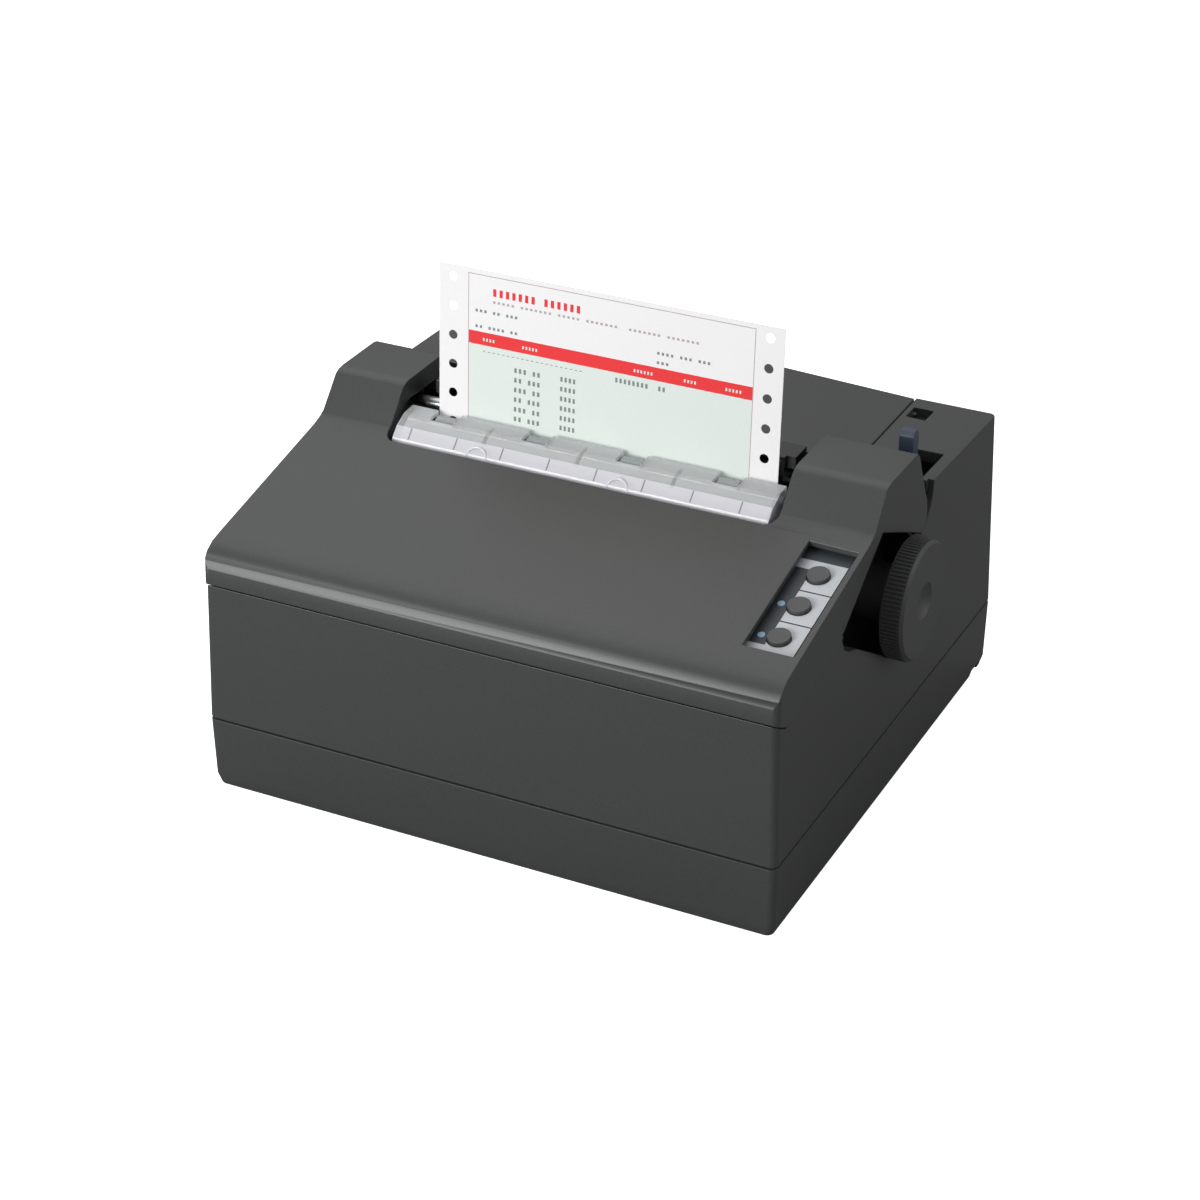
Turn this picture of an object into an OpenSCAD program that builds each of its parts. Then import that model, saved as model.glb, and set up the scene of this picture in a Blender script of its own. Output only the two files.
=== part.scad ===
/* [Case] */
// Width of the case at the seam between base and upper case
case_w = 252; // [248:1:262]
// Depth of the case at the same seam
case_d = 236.5; // [234:0.5:244]
// Height of the base tray
base_h = 32; // [30:0.5:34]
// Wall thickness of the case mouldings
wall = 2.6; // [2.2:0.1:3]
// Height of the rear deck above the base's underside
deck_z = 124.2; // [122.2:0.5:125.2]
// Gap at the seams between the mouldings
seam_gap = 0.8; // [0.5:0.1:1]
// Height of the rubber feet below the base
foot_h = 1.5; // [1:0.1:3]
/* [Front cover] */
// Height of the front seam under the cover's lip
lid_seam_z = 94.5; // [93.5:0.5:95]
// Slope of the cover's top, in degrees
lid_slope = 12.32; // [11.8:0.1:12.8]
// Height of the raised shoulders
shoulder_z = 144.8; // [144:0.2:147]
// Left edge of the paper opening
opening_left = -91; // [-92:0.5:-90]
// Right edge of the paper opening
opening_right = 84; // [83.5:0.5:85]
// Front edge of the paper opening
opening_front = 87.5; // [86:0.5:88]
// Diameter of the cover's hinge pins
hinge_pin_d = 5; // [4:0.5:5.5]
/* [Paper path] */
// Radius of the rubber platen
platen_r = 16.2; // [15.5:0.1:16.4]
// Width of the form with its punched margins
paper_w = 152.4; // [140:0.1:153]
// Length of the form
paper_len = 215.9; // [203.2:12.7:228.6]
// Thickness of the form
paper_t = 0.3; // [0.2:0.1:0.4]
// Pitch of the sprocket holes
hole_pitch = 12.7; // [12.7:12.7:12.7]
// Diameter of the sprocket holes
hole_d = 4; // [3.8:0.1:4.2]
// Distance of a hole row from the form's edge
hole_margin = 6.35; // [6:0.05:6.5]
// Diameter of the platen's shaft
platen_shaft_d = 8; // [6:0.5:10]
/* [Knob] */
// Radius of the paper feed knob
knob_r = 25.5; // [24:0.5:26]
// Width of the knob's knurled disc
knob_w = 9.6; // [8:0.2:11]
/* [Controls] */
// Diameter of a panel button
button_d = 9.2; // [8:0.2:9.4]
// Travel of a panel button
button_travel = 1; // [0.5:0.1:1]
// Distance between two buttons along the panel
button_pitch = 19.1; // [17:0.1:19.5]
/* [Printing] */
// Diameter of the carriage's guide shaft
guide_d = 8; // [6:0.5:9]
// Place of the carriage across the printer at rest
carriage_x = -60; // [-62:1:-50]
// Gear module
gear_m = 0.65; // [0.6:0.01:0.66]

/* [Hidden] */
$fn = 64;
eps = 0.01;
big = 400;

// Colours as the photograph shows them
shell_grey = [0.24, 0.25, 0.25];
dark = [0.12, 0.12, 0.13];
steel = [0.72, 0.73, 0.75];
white_plastic = [0.88, 0.88, 0.86];
clear = [0.8, 0.82, 0.84, 0.5];
board_green = [0.1, 0.35, 0.2];
label_grey = [0.78, 0.79, 0.8];

// Clearances between pieces
run = 0.05;
slip = 0.3;
soft = 0.15;

// Case: drafts of the walls, and the block that all shells are cut from
side_draft = tan(1.5);
front_draft = tan(1.3);
back_draft = tan(1.25);
block_top = 150;
corner_r = 3;
base_inset = 1.8;
base_bevel = 5;
cover_proud = 0.5;
deck_fall = 0.032;
deck_front = 158;
deck_t = 2.5;
deck_sink = 3;
half_w = case_w / 2;

// Cover: outline of its side, from the front lip up to the raised shoulders
lip_y = 0.9;
slope_y = 15.2;
slope_z = lid_seam_z + 17.2;
steep_y = 90.3;
steep_z = slope_z + (steep_y - slope_y) * tan(lid_slope);
seam_y = 12.7;
seam_rise = 0.233;
cheek_h = 9;
opening_r = 6;
rim_t = 2.2;
hinge_y = 141;
hinge_z = deck_z - 0.2;
ear_r = 18.4;
lug_r = 6.5;
lug_x = 2.5;
lug_t = 4;
LIP = [
    [lip_y, lid_seam_z], [lip_y - 0.1, lid_seam_z + 6], [lip_y + 1.3, lid_seam_z + 9.8],
    [lip_y + 3.9, lid_seam_z + 13.1], [lip_y + 8, lid_seam_z + 15.6], [slope_y, slope_z]
];
SHOULDER = [
    [steep_y - 3, steep_z - 3 * tan(lid_slope)], [steep_y + 1.5, steep_z + 0.8], [steep_y + 4.9, steep_z + 2.5],
    [hinge_y - 35, shoulder_z - 1.6], [hinge_y - 32.4, shoulder_z - 0.4], [hinge_y - 29, shoulder_z],
    [hinge_y - 3.4, shoulder_z], [hinge_y - 1, shoulder_z - 0.5], [hinge_y + 0.8, shoulder_z - 2.4],
    [hinge_y + 8.2, hinge_z - 0.4], [hinge_y + 10.7, hinge_z - 5.2], [hinge_y + 10.7, hinge_z - 10.5],
    [hinge_y + 9.7, hinge_z - 14.6], [hinge_y + 5.5, hinge_z - 17.5]
];

// Frame: two side plates, and the chassis plate between them on its posts
plate_inset = 22;
plate_x = half_w - plate_inset;
plate_t = 2;
plate_lug_r = 4.7;
frame_y = [30, case_d - 28.5];
chassis_z = 40;
chassis_t = 1.5;
post_r = 5;

// Paper path: the platen, the leaning sheet and the tractor that pulls it
lean = 3;
platen_y = 124.3;
platen_z = 88.6;
platen_x = [-(plate_x - 18), plate_x - 8];
sheet_gap = 0.35;
sheet_r = platen_r + sheet_gap;
sheet_top_len = 110;
tractor_z = 130.4;
pin_count = 6;
sprocket_r = pin_count * hole_pitch / (2 * PI);
sprocket_w = 5;
pin_tip_r = sprocket_r + paper_t / 2 + 0.12;
// Behind the sheet, so that the middle of its thickness runs on the wheels' pitch circle
tractor_y = platen_y + (sprocket_r - paper_t / 2 - sheet_r + (tractor_z - platen_z) * sin(lean)) / cos(lean);
pin_r = 1.5;
tractor_shaft_d = 6;
rod_y = tractor_y + 12.1;
rod_z = tractor_z - 9.4;
rod_d = 5;
tractor_x = paper_w / 2 - hole_margin;
tractor_top = tractor_z + pin_tip_r + 0.4;
tractor_hinge = [tractor_y + 4.6, tractor_top - 2.6];
cheek_x = 5.6;
cheek_t = 3.2;
lid_half_w = 7.4;
lid_t = 1.2;
lid_pin_r = 1;
tab_w = 3.9;
tab_h = 4.4;

// Guide below the platen, and the way in under the rear cover
guide_x = paper_w / 2 + 3.8;
guide_t = 1.5;
guide_back = case_d - 24.5;
guide_leg_t = 3;
guide_leg_y = [150, guide_back - 6];
entry_x = paper_w / 2 + 7.8;
entry_y = 170;

// Where the front of the leaning sheet stands at height z
function sheet_y(z) = platen_y - (sheet_r + paper_t) / cos(lean) + (z - platen_z) * tan(lean);

// Clear cover: its tension rollers, and the edge that tears the form off
roller_pitch = 42.5;
roller_x = [for (i = [0:3]) -70 + roller_pitch * i];
roller_r = 4;
roller_w = 9;
roller_z = 130;
roller_y = sheet_y(roller_z) - roller_r - slip;
axle_r = 1.5;
tear_inset = 3;
tear_z = 135.3;
tear_y = sheet_y(tear_z) - 1.7;
tear_t = 1.8;
tear_foot_z = 113;
tear_rib_t = 1.6;
arm_y = [98, 104];
arm_h = 5;

// Knob and its recess in the right side
knob_out = 9;
knob_face = half_w + knob_out;
knob_chamfer = 1.2;
knob_hub_r = 12;
rib_count = 90;
rib_r = 0.6;
dimple_r = 14;
dimple_up = 11.5;
recess_r = knob_r - 0.2;
recess_floor = half_w - 18;
recess_t = 2;
recess_top = [102.9, 126.8];
recess_tip = [63.5, 99.3];

// Gear train on the left plate
platen_teeth = 40;
tractor_teeth = 30;
idler_teeth = 30;
feed_idler_teeth = 32;
pinion_teeth = 12;
gear_gap = 1.5;
gear_x = -(plate_x + plate_t + gear_gap);
gear_w = 4;
gear_pin_r = 2;
motor_shaft_r = 1.25;
motor_r = 17.5;
motor_len = 20;
motor_ear = 25;
motor_ear_h = 6;

// Printing: guide shaft, front rail, belt and pulleys
guide_y = 72;
guide_z = 66;
rail_y = 91;
rail_t = 1.5;
rail_z = 61;
belt_y = 50;
belt_z = 57;
belt_h = 6;
belt_t = 1.2;
pulley_r = 6;
flange = 2;
flange_t = 0.7;
pulley_x = plate_x - 12;
pulley_pin_r = 2;
drive_shaft_r = 1.5;
drive_motor_r = 16;
drive_motor_z = 14;

// Carriage with its print head; the nose stops short of the ribbon and the paper
carriage_w = 40;
saddle_w = 28;
saddle_z = 77;
head_w = 26;
head_y = [76, 96];
head_top = 96;
head_foot = 1.6;
fin_t = 1.4;
fin_pitch = 2.65;
head_z = platen_z;
paper_front = platen_y - sheet_r - paper_t;
nose_gap = 1.25;
nose_w = 5;
nose_h = 6;
ribbon_gap = 0.6;
ribbon_t = 0.25;
ribbon_y = paper_front - ribbon_gap - ribbon_t;
ribbon_z = [85, 97];
cable_w = 16;
cable_t = 0.5;
cable_r = 6;
cable_y = 112;
cable_fold_x = 40;

// Ribbon cartridge: its box, its two horns and the knob that winds the ribbon
cartridge_x = plate_x - 8;
cartridge_y = [32, 68];
cartridge_z = [97, 107];
cartridge_t = 2;
horn_x = [plate_x - 19, plate_x - 12];
horn_z = [84, 100];
horn_foot = 1;
cartridge_arm_y = [50, 58];
cartridge_arm_h = 3;
wind_at = [-60, 50];
wind_r = 8;
wind_h = 3;
wind_shaft_r = 3;
wind_rib_r = 0.9;

// Control panel
panel_x = [half_w - 27.8, half_w - 6.9];
panel_y = [24.8, 89.8];
panel_drop = 4.6;
panel_t = 6.9;
panel_skin = 1.5;
panel_len = (panel_y[1] - panel_y[0]) / cos(lid_slope);
window_x = [half_w - 25.25, half_w - 4.35];
window_y = [21.4, 84, 84.6];
key_top = -3.9;
key_h = 1;
key_w = 5;
button_out = 1.6;
button_flange = 0.8;
button_x = panel_x[1] - 9;
button_first_y = 33.2;
led_x = panel_x[0] + 4.7;
led_r = 1.45;
leg_foot_z = 88;
ledge_y = [28, 62];
leg_w = 8;

// Rear wall of the base: the inlet and its switch on the right, the ports on the left
port_gap = 0.2;
port_face = 0.8;
inlet_x = [half_w - 48, half_w - 20];
inlet_z = [8, 28];
inlet_deep = 16;
inlet_rim = 4;
contact_t = 2;
contact_pitch = 7;
switch_x = [half_w - 76, half_w - 58];
switch_deep = 12;
switch_rim = 1.4;
rocker_at = [case_d - 9, 18];
rocker_pin_r = 1;
data_x = [-(half_w - 31), -(half_w - 86)];
data_z = [9, 25];
serial_x = [-(half_w - 101), -(half_w - 121)];
serial_z = [9, 23];
port_deep = 11;

// Inside the base: the power supply on the right, the main board beside it
supply_x = [half_w - 70, half_w - 14];
supply_y = [case_d - 86.5, case_d - 26.5];
supply_z = 5;
supply_h = 33;
board_x = [-(half_w - 42), supply_x[0] - 16];
board_y = [60, case_d - 31.5];
board_z = 6;
board_t = 1.6;
// Chips: corner on the board, width, depth and height
CHIPS = [
    [board_x[0] + 24, board_y[0] + 50, 28, 28, 3.4], [board_x[1] - 54, board_y[0] + 34, 30, 12, 3],
    [board_x[0] + 24, board_y[0] + 20, 30, 10, 3]
];
can_r = 5;
can_h = 14;
can_pitch = 14;
post_front_x = pulley_x - 26;
post_back_y = case_d - 40.5;
chassis_posts = [
    [-post_front_x, frame_y[0] + 6], [post_front_x, frame_y[0] + 6],
    [-(plate_x - 10), post_back_y], [board_x[1] + 6.5, post_back_y]
];
underside_rib_t = 4;

// Feet and case screws
foot_r = 8;
foot_places = [for (x = [-1, 1]) for (y = [22, case_d - 30.5]) [x * (half_w - 22), y]];
screw_r = 1.5;
screw_head_r = 3;
screw_in = 8.2;
screw_len = 42;
screw_boss_r = 6.2;
case_screw_places = [for (x = [-1, 1]) for (y = [screw_in, case_d - screw_in]) [x * (half_w - screw_in), y]];

// Rear: the lever, the rear cover with its curled edge, the slot and the socket in the deck
lever_x = half_w - 16;
lever_y = 166;
lever_t = 3;
lever_pivot_z = 68;
lever_pin_r = 2.5;
lever_z = [118, 141];
curl_r = 8;
curl_t = 2.4;
rear_axis_y = case_d - 3 - curl_r;
rear_axis_z = deck_z - 6.2;
trough_back = case_d - (rear_axis_z - base_h) * back_draft - 0.5;
rear_cover_x = [-(half_w - 5), half_w - 36.8];
cover_under = 2.6;
cover_over = 0.3;
cover_rise = 8.2;
cover_taper = 2.2;
rear_pin_r = 1.5;
rear_boss_r = 3.4;
slot_x = [half_w - 22, half_w - 7.8];
slot_y = [deck_front - 5, deck_front + 27.5];
socket_x = [half_w - 35.8, half_w - 27];
socket_y = [case_d - 22, case_d - 11.5];
socket_deep = 4.5;
well_x = [rear_cover_x[0] - 0.6, rear_cover_x[1] + 0.4];
pin_seat = 1.4;

// Middle of the whole part's box, which stands on the frame's origin
mid_x = (knob_face - half_w) / 2;
mid_y = case_d / 2;

function deck_at(y) = deck_z - (y - hinge_y - 10) * deck_fall;
function slope_at(y) = slope_z + (y - slope_y) * tan(lid_slope);
function seam_at(y) = lid_seam_z - 4 + (y - seam_y) * seam_rise;
function arc(cy, cz, r, a0, a1, n) = [for (i = [0:n]) let (a = a0 + (a1 - a0) * i / n) [cy + r * cos(a), cz + r * sin(a)]];
function polar(c, r, a) = [c[0] + r * cos(a), c[1] + r * sin(a)];
function dist(a, b) = norm(b - a);
function aim(a, b) = atan2(b[1] - a[1], b[0] - a[0]);
// Where two circles around a and b meet, on the right of the line from a to b
function meet(a, ra, b, rb) = let (d = dist(a, b), k = acos((ra * ra + d * d - rb * rb) / (2 * ra * d)))
    polar(a, ra, aim(a, b) - k);
// Turn of a gear at b, with nb teeth, that meshes with a gear at a, with na teeth turned by pa
function mesh(a, na, pa, b, nb) = let (f = (aim(a, b) - pa) * na / 360) aim(a, b) + 180 - (0.5 - f) * 360 / nb;

P = [platen_y, platen_z];
T = [tractor_y, tractor_z];
H = [hinge_y, hinge_z];
function pitch_r(n) = gear_m * n / 2;
idler_at = meet(P, pitch_r(platen_teeth) + pitch_r(idler_teeth), T, pitch_r(tractor_teeth) + pitch_r(idler_teeth));
feed_idler_at = polar(P, pitch_r(platen_teeth) + pitch_r(feed_idler_teeth), -35);
motor_at = polar(feed_idler_at, pitch_r(feed_idler_teeth) + pitch_r(pinion_teeth), -60);
idler_turn = mesh(P, platen_teeth, 0, idler_at, idler_teeth);
tractor_turn = mesh(idler_at, idler_teeth, idler_turn, T, tractor_teeth);
feed_idler_turn = mesh(P, platen_teeth, 0, feed_idler_at, feed_idler_teeth);
pinion_turn = mesh(feed_idler_at, feed_idler_teeth, feed_idler_turn, motor_at, pinion_teeth);

// Moves the case's own axes, with y = 0 at the front, to the middle of the part's box
module placed() {
    translate([-mid_x, -mid_y, foot_h]) children();
}

// A profile in y and z, pushed across the printer from x0 to x1
module across(x0, x1) {
    translate([x0, 0, 0]) rotate([90, 0, 90]) linear_extrude(x1 - x0) children();
}

module rod(x0, x1, y, z, r) {
    translate([x0, y, z]) rotate([0, 90, 0]) cylinder(r = r, h = x1 - x0);
}

module box(x, y, z) {
    translate([x[0], y[0], z[0]]) cube([x[1] - x[0], y[1] - y[0], z[1] - z[0]]);
}

module plan(inset_side, inset_front, inset_back, z) {
    x = half_w - inset_side - corner_r;
    y0 = inset_front + corner_r;
    y1 = case_d - inset_back - corner_r;
    for (sx = [-x, x]) for (y = [y0, y1])
        translate([sx, y, z]) cylinder(r = corner_r, h = eps, $fn = 32);
}

// The drafted block above the base seam, drawn in by t
module upper_block(t) {
    h = block_top - base_h;
    hull() {
        plan(t, t, t, base_h - eps);
        plan(t + h * side_draft, t + h * front_draft, t + h * back_draft, block_top);
    }
}

module base_block(t) {
    hull() {
        plan(t + base_inset, t + base_inset, t + base_inset, t);
        plan(t + base_bevel / 10, t + base_bevel / 10, t + base_bevel / 10, base_bevel);
        plan(t, t, t, base_h - seam_gap / 2);
    }
}

module base_case() {
    color(shell_grey) {
        difference() {
            base_block(0);
            translate([0, 0, eps]) base_block(wall);
            box([-big, big], [-big, big], [base_h - seam_gap / 2, big]);
            // Slots under the rear corners
            for (s = [-1, 1])
                box([s * half_w - 8, s * half_w + 8], [case_d - 16, case_d - 7], [-1, 3.4]);
            rear_ports(port_gap);
            screw_heads(screw_r + 0.2, wall + 1);
            screw_heads(screw_head_r + 0.2, wall + 0.2);
        }
        difference() {
            case_bosses(wall - eps, base_h - seam_gap / 2, screw_r + 0.2);
            screw_heads(screw_head_r + 0.2, wall + 0.2);
        }
        // Posts that carry the chassis
        for (p = chassis_posts)
            translate([p[0], p[1], wall - eps]) cylinder(r = post_r, h = chassis_z - wall + eps);
        // Ribs under the board and the power supply
        t = underside_rib_t;
        for (x = [board_x[0] + t, board_x[1] - 2 * t]) box([x, x + t], board_y, [wall - eps, board_z]);
        for (x = [supply_x[0] + t / 2, supply_x[1] - 1.5 * t]) box([x, x + t], supply_y, [wall - eps, supply_z]);
    }
}

// Holes in the rear wall for the inlet, the switch and the two ports
module rear_ports(c) {
    y = [case_d - inlet_deep + 4, case_d + 5];
    for (p = [[inlet_x, inlet_z], [switch_x, inlet_z], [data_x, data_z], [serial_x, serial_z]])
        box([p[0][0] - c, p[0][1] + c], y, [p[1][0] - c, p[1][1] + c]);
}

// Round bosses in the corners, around the case screws
module case_bosses(z0, z1, hole) {
    for (p = case_screw_places) difference() {
        translate([p[0], p[1], z0]) cylinder(r = screw_boss_r, h = z1 - z0);
        translate([p[0], p[1], z0 - 5]) cylinder(r = hole, h = z1 - z0 + 10);
    }
}

module recess_outline(grow) {
    c = P;
    r = recess_r + grow;
    g = grow;
    rim = r - 0.4;
    circle_shape(c, r);
    polygon([
        [recess_top[0] - g * 0.2, recess_top[1] + g * 1.1], [recess_tip[0] - g * 1.3, recess_tip[1]],
        [recess_tip[0] + 2.5 - g, recess_tip[1] - 5.8 - g * 0.5], [recess_tip[0] + 7.1 - g * 0.6, recess_tip[1] - 8.9 - g],
        [recess_tip[0] + 15.5, recess_tip[1] - 11.9 - g], polar(c, rim, -120), c, polar(c, rim, 64)
    ]);
}

module circle_shape(c, r) {
    translate(c) circle(r = r, $fn = 96);
}

module ear_cut(x0, x1) {
    across(x0, x1) circle_shape(H, ear_r + seam_gap);
}

// Side walls of the upper case end where the cover's skirts begin
module case_side_right() {
    g = seam_gap;
    polygon([
        [-5, base_h], [case_d + 5, base_h], [case_d + 5, deck_at(case_d + 5)], [hinge_y + 10.2, deck_at(hinge_y + 10.2)],
        [hinge_y + 10.7 + g, hinge_z - 5], [hinge_y + 10.7 + g, hinge_z - 10.7], [hinge_y + 10.4, hinge_z - 15],
        [hinge_y + 6.2, hinge_z - 18.4], P, [recess_tip[0] + 8, recess_tip[1] - 4], [recess_tip[0] - 0.5, seam_at(recess_tip[0]) - g],
        [seam_y, seam_at(seam_y) - g], [seam_y - 3.7, seam_at(seam_y) - g - 0.4], [lip_y + 0.4, lid_seam_z - g], [-5, lid_seam_z - g]
    ]);
}

module case_side_left() {
    g = seam_gap;
    polygon(concat([
        [-5, base_h], [case_d + 5, base_h], [case_d + 5, deck_at(case_d + 5)], [hinge_y + 10.2, deck_at(hinge_y + 10.2)],
        [hinge_y + 10.7 + g, hinge_z - 5]],
        arc(hinge_y, hinge_z, ear_r + g, -48, -157, 16),
        [[seam_y, seam_at(seam_y) - g], [seam_y - 3.7, seam_at(seam_y) - g - 0.4], [lip_y + 0.4, lid_seam_z - g], [-5, lid_seam_z - g]]
    ));
}

// Hollow of the upper case: open under the front cover, closed under the deck
module case_hollow_side() {
    polygon([
        [-5, -5], [big, -5], [big, deck_at(big) - deck_sink - deck_t], [deck_front, deck_at(deck_front) - deck_sink - deck_t],
        [deck_front, big], [-5, big]
    ]);
}

// Side outline of the rear cover's well, with the trough for its curled edge
module well_side() {
    r = curl_r + slip + 0.2;
    y = deck_front - 5;
    under = cover_under + slip;
    polygon(concat(
        [[y, deck_at(y) - under], [rear_axis_y - r, deck_at(rear_axis_y - r) - under]],
        arc(rear_axis_y, rear_axis_z, r, 176, 328, 20),
        [[case_d + 5, rear_axis_z - 4.4], [case_d + 5, big], [y, big]]
    ));
}

// Room to the right of a line that runs slightly inwards towards the rear
module right_of_cover(x) {
    translate([0, 0, 50]) linear_extrude(big) polygon([
        [x, deck_front - 5], [x - cover_taper, case_d], [x - cover_taper, case_d + 10], [x + 20, case_d + 10], [x + 20, deck_front - 5]
    ]);
}

module upper_case() {
    color(shell_grey) difference() {
        union() {
            difference() {
                upper_block(0);
                difference() {
                    upper_block(wall);
                    across(-big, big) difference() {
                        translate([-50, -50]) square(big * 2);
                        case_hollow_side();
                    }
                }
                box([-big, big], [-big, big], [0, base_h + seam_gap / 2]);
                across(0, big) difference() {
                    translate([-50, -50]) square(big * 2);
                    case_side_right();
                }
                across(-big, 0) difference() {
                    translate([-50, -50]) square(big * 2);
                    case_side_left();
                }
            }
            // Cup behind the feed knob, and the collar that joins it to the side wall
            difference() {
                across(recess_floor - recess_t, half_w - 5.4) recess_outline(recess_t);
                box([-big, big], [-big, big], [-big, base_h + 2]);
            }
            intersection() {
                across(half_w - 6, half_w - 3) recess_outline(recess_t);
                across(0, big) case_side_right();
            }
            // Ledge that the control panel stands on
            box([panel_x[1] - 6, half_w - 2.2], ledge_y, [leg_foot_z - 2.5, leg_foot_z]);
            // Trough round the rear cover's curled edge
            intersection() {
                rod(well_x[0] - 1, well_x[1] + 2, rear_axis_y, rear_axis_z, curl_r + wall);
                box([-big, big], [0, trough_back], [0, rear_axis_z + 1]);
            }
            case_bosses(base_h + seam_gap / 2, base_h + 14, screw_r);
        }
        across(recess_floor, big) recess_outline(0);
        rod(recess_floor - 5, big, platen_y, platen_z, platen_shaft_d / 2 + 3);
        ear_cut(half_w - 5, half_w + 5);
        // Well and trough of the rear cover, open at the back above the rear wall
        difference() {
            across(well_x[0], well_x[1]) well_side();
            right_of_cover(well_x[1]);
        }
        rod(well_x[0] - pin_seat, well_x[1] + pin_seat, rear_axis_y, rear_axis_z, rear_pin_r);
        // Paper entry under the rear cover
        box([-entry_x, entry_x], [entry_y, rear_axis_y - curl_r - 4], [100, big]);
        // Lever slot and socket in the right of the deck
        box(slot_x, slot_y, [100, big]);
        box(socket_x, socket_y, [deck_at(socket_y[1]) - socket_deep, big]);
    }
}

// Cover's side outline; the right skirt steps up around the knob recess
module cover_outline_right() {
    polygon(concat(LIP, SHOULDER, [
        recess_top, [recess_tip[0], seam_at(recess_tip[0])], [seam_y, seam_at(seam_y)], [seam_y - 3.7, seam_at(seam_y) - 0.4],
        [lip_y + 0.4, lid_seam_z - 0.4]
    ]));
}

module cover_outline_left() {
    polygon(concat(LIP, [for (i = [0:10]) SHOULDER[i]], arc(hinge_y, hinge_z, ear_r, -48, -157, 16), [
        [seam_y, seam_at(seam_y)], [seam_y - 3.7, seam_at(seam_y) - 0.4], [lip_y + 0.4, lid_seam_z - 0.4]
    ]));
}

module cover_hollow_outline() {
    t = wall;
    polygon([
        [lip_y + t, -5], [lip_y + t, lid_seam_z + 6], [lip_y + t + 1.2, lid_seam_z + 9], [lip_y + t + 3.6, lid_seam_z + 11.6],
        [slope_y, slope_z - t], [steep_y, steep_z - t], [steep_y + 6.2, steep_z + 0.2], [hinge_y - 33.6, shoulder_z - 3],
        [hinge_y - 30, shoulder_z - t], [hinge_y - 3, shoulder_z - t], [hinge_y - 1.5, shoulder_z - t - 1],
        [hinge_y + 5.6, hinge_z], [hinge_y + 5.6, hinge_z - 0.5], [hinge_y + 30, hinge_z - 0.5], [hinge_y + 30, -5]
    ]);
}

module front_cover() {
    color(shell_grey) {
        difference() {
            upper_block(-cover_proud);
            // Trimmed to its side outline
            across(0, big) difference() {
                translate([-50, -50]) square(big * 2);
                cover_outline_right();
            }
            across(-big, 0) difference() {
                translate([-50, -50]) square(big * 2);
                cover_outline_left();
            }
            // Paper opening, with round front corners
            translate([0, 0, -5]) linear_extrude(big) opening_plan();
            // Hollow inside the walls, keeping cheeks beside the opening
            difference() {
                upper_block(wall - cover_proud);
                across(-big, big) difference() {
                    translate([-50, -50]) square(big * 2);
                    cover_hollow_outline();
                }
                difference() {
                    translate([0, 0, -5]) linear_extrude(big) opening_rim(rim_t);
                    across(-big, big) translate([0, -cheek_h]) cover_top_region();
                }
            }
            box([-half_w + 3, half_w - 3], [hinge_y + 5.6, big], [-5, hinge_z - 0.4]);
            panel_window();
        }
        for (s = [-1, 1]) cover_lug(s);
    }
}

module opening_plan() {
    r = opening_r;
    translate([opening_left, opening_front + r]) square([opening_right - opening_left, big]);
    translate([opening_left + r, opening_front]) square([opening_right - opening_left - 2 * r, r + 1]);
    for (x = [opening_left + r, opening_right - r]) translate([x, opening_front + r]) circle(r = r);
}

module opening_rim(t) {
    translate([opening_left - t, opening_front - t]) square([opening_right - opening_left + 2 * t, big]);
}

module cover_top_region() {
    polygon([
        [0, -50], [0, slope_at(0)], [steep_y, steep_z], [steep_y + 4.9, steep_z + 2.5], [hinge_y - 34, shoulder_z - 1],
        [hinge_y - 29, shoulder_z], [hinge_y + 30, shoulder_z], [hinge_y + 30, -50]
    ]);
}

// Opening in the cover over the control panel
module panel_window() {
    translate([0, 0, -5]) linear_extrude(big) polygon([
        [window_x[0], window_y[0]], [window_x[1], window_y[0]], [window_x[1], window_y[1]], [window_x[0], window_y[2]]
    ]);
}

module cover_lug(s) {
    x = [plate_x + plate_t + lug_x, plate_x + plate_t + lug_x + lug_t];
    difference() {
        across(s > 0 ? x[0] : -x[1], s > 0 ? x[1] : -x[0]) {
            circle_shape(H, lug_r);
            polygon([
                [hinge_y - lug_r + 0.3, hinge_z], [hinge_y + 4.4, hinge_z + 1.5], [hinge_y - 2.6, shoulder_z - wall + 0.2],
                [hinge_y - lug_r + 0.3, shoulder_z - wall + 0.2]
            ]);
        }
        rod(-big, big, hinge_y, hinge_z, hinge_pin_d / 2 + run);
    }
}

module cover_hinge_pins() {
    color(steel) for (s = [-1, 1]) {
        x = [plate_x, plate_x + plate_t + lug_x + lug_t + 0.5];
        rod(s > 0 ? x[0] : -x[1], s > 0 ? x[1] : -x[0], hinge_y, hinge_z, hinge_pin_d / 2);
    }
}

// Moves a piece drawn from y = 0 and z = 0 onto the sloping rear deck
module on_deck() {
    translate([0, deck_front, deck_at(deck_front)]) rotate([-atan(deck_fall), 0, 0]) children();
}

// Top of the rear cover, which rises towards the left
module rear_cover_profile(under, over) {
    x = rear_cover_x;
    polygon([
        [x[0] + under, -cover_under], [x[1] - under, -cover_under], [x[1] - under, over],
        [x[0] + under + 3, over + cover_rise], [x[0] + under + 1, over + cover_rise - 0.5], [x[0] + under, over + cover_rise - 2]
    ]);
}

module above_rear_cover() {
    x = rear_cover_x;
    top = cover_over + cover_rise;
    polygon([
        [x[1] + 1, cover_over], [x[1], cover_over], [x[0] + 3, top], [x[0] + 1, top - 0.5], [x[0], top - 2],
        [x[0] - 1, top - 2], [x[0] - 1, 60], [x[1] + 1, 60]
    ]);
}

module along(y0, y1) {
    translate([0, y1, 0]) rotate([90, 0, 0]) linear_extrude(y1 - y0) children();
}

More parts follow.
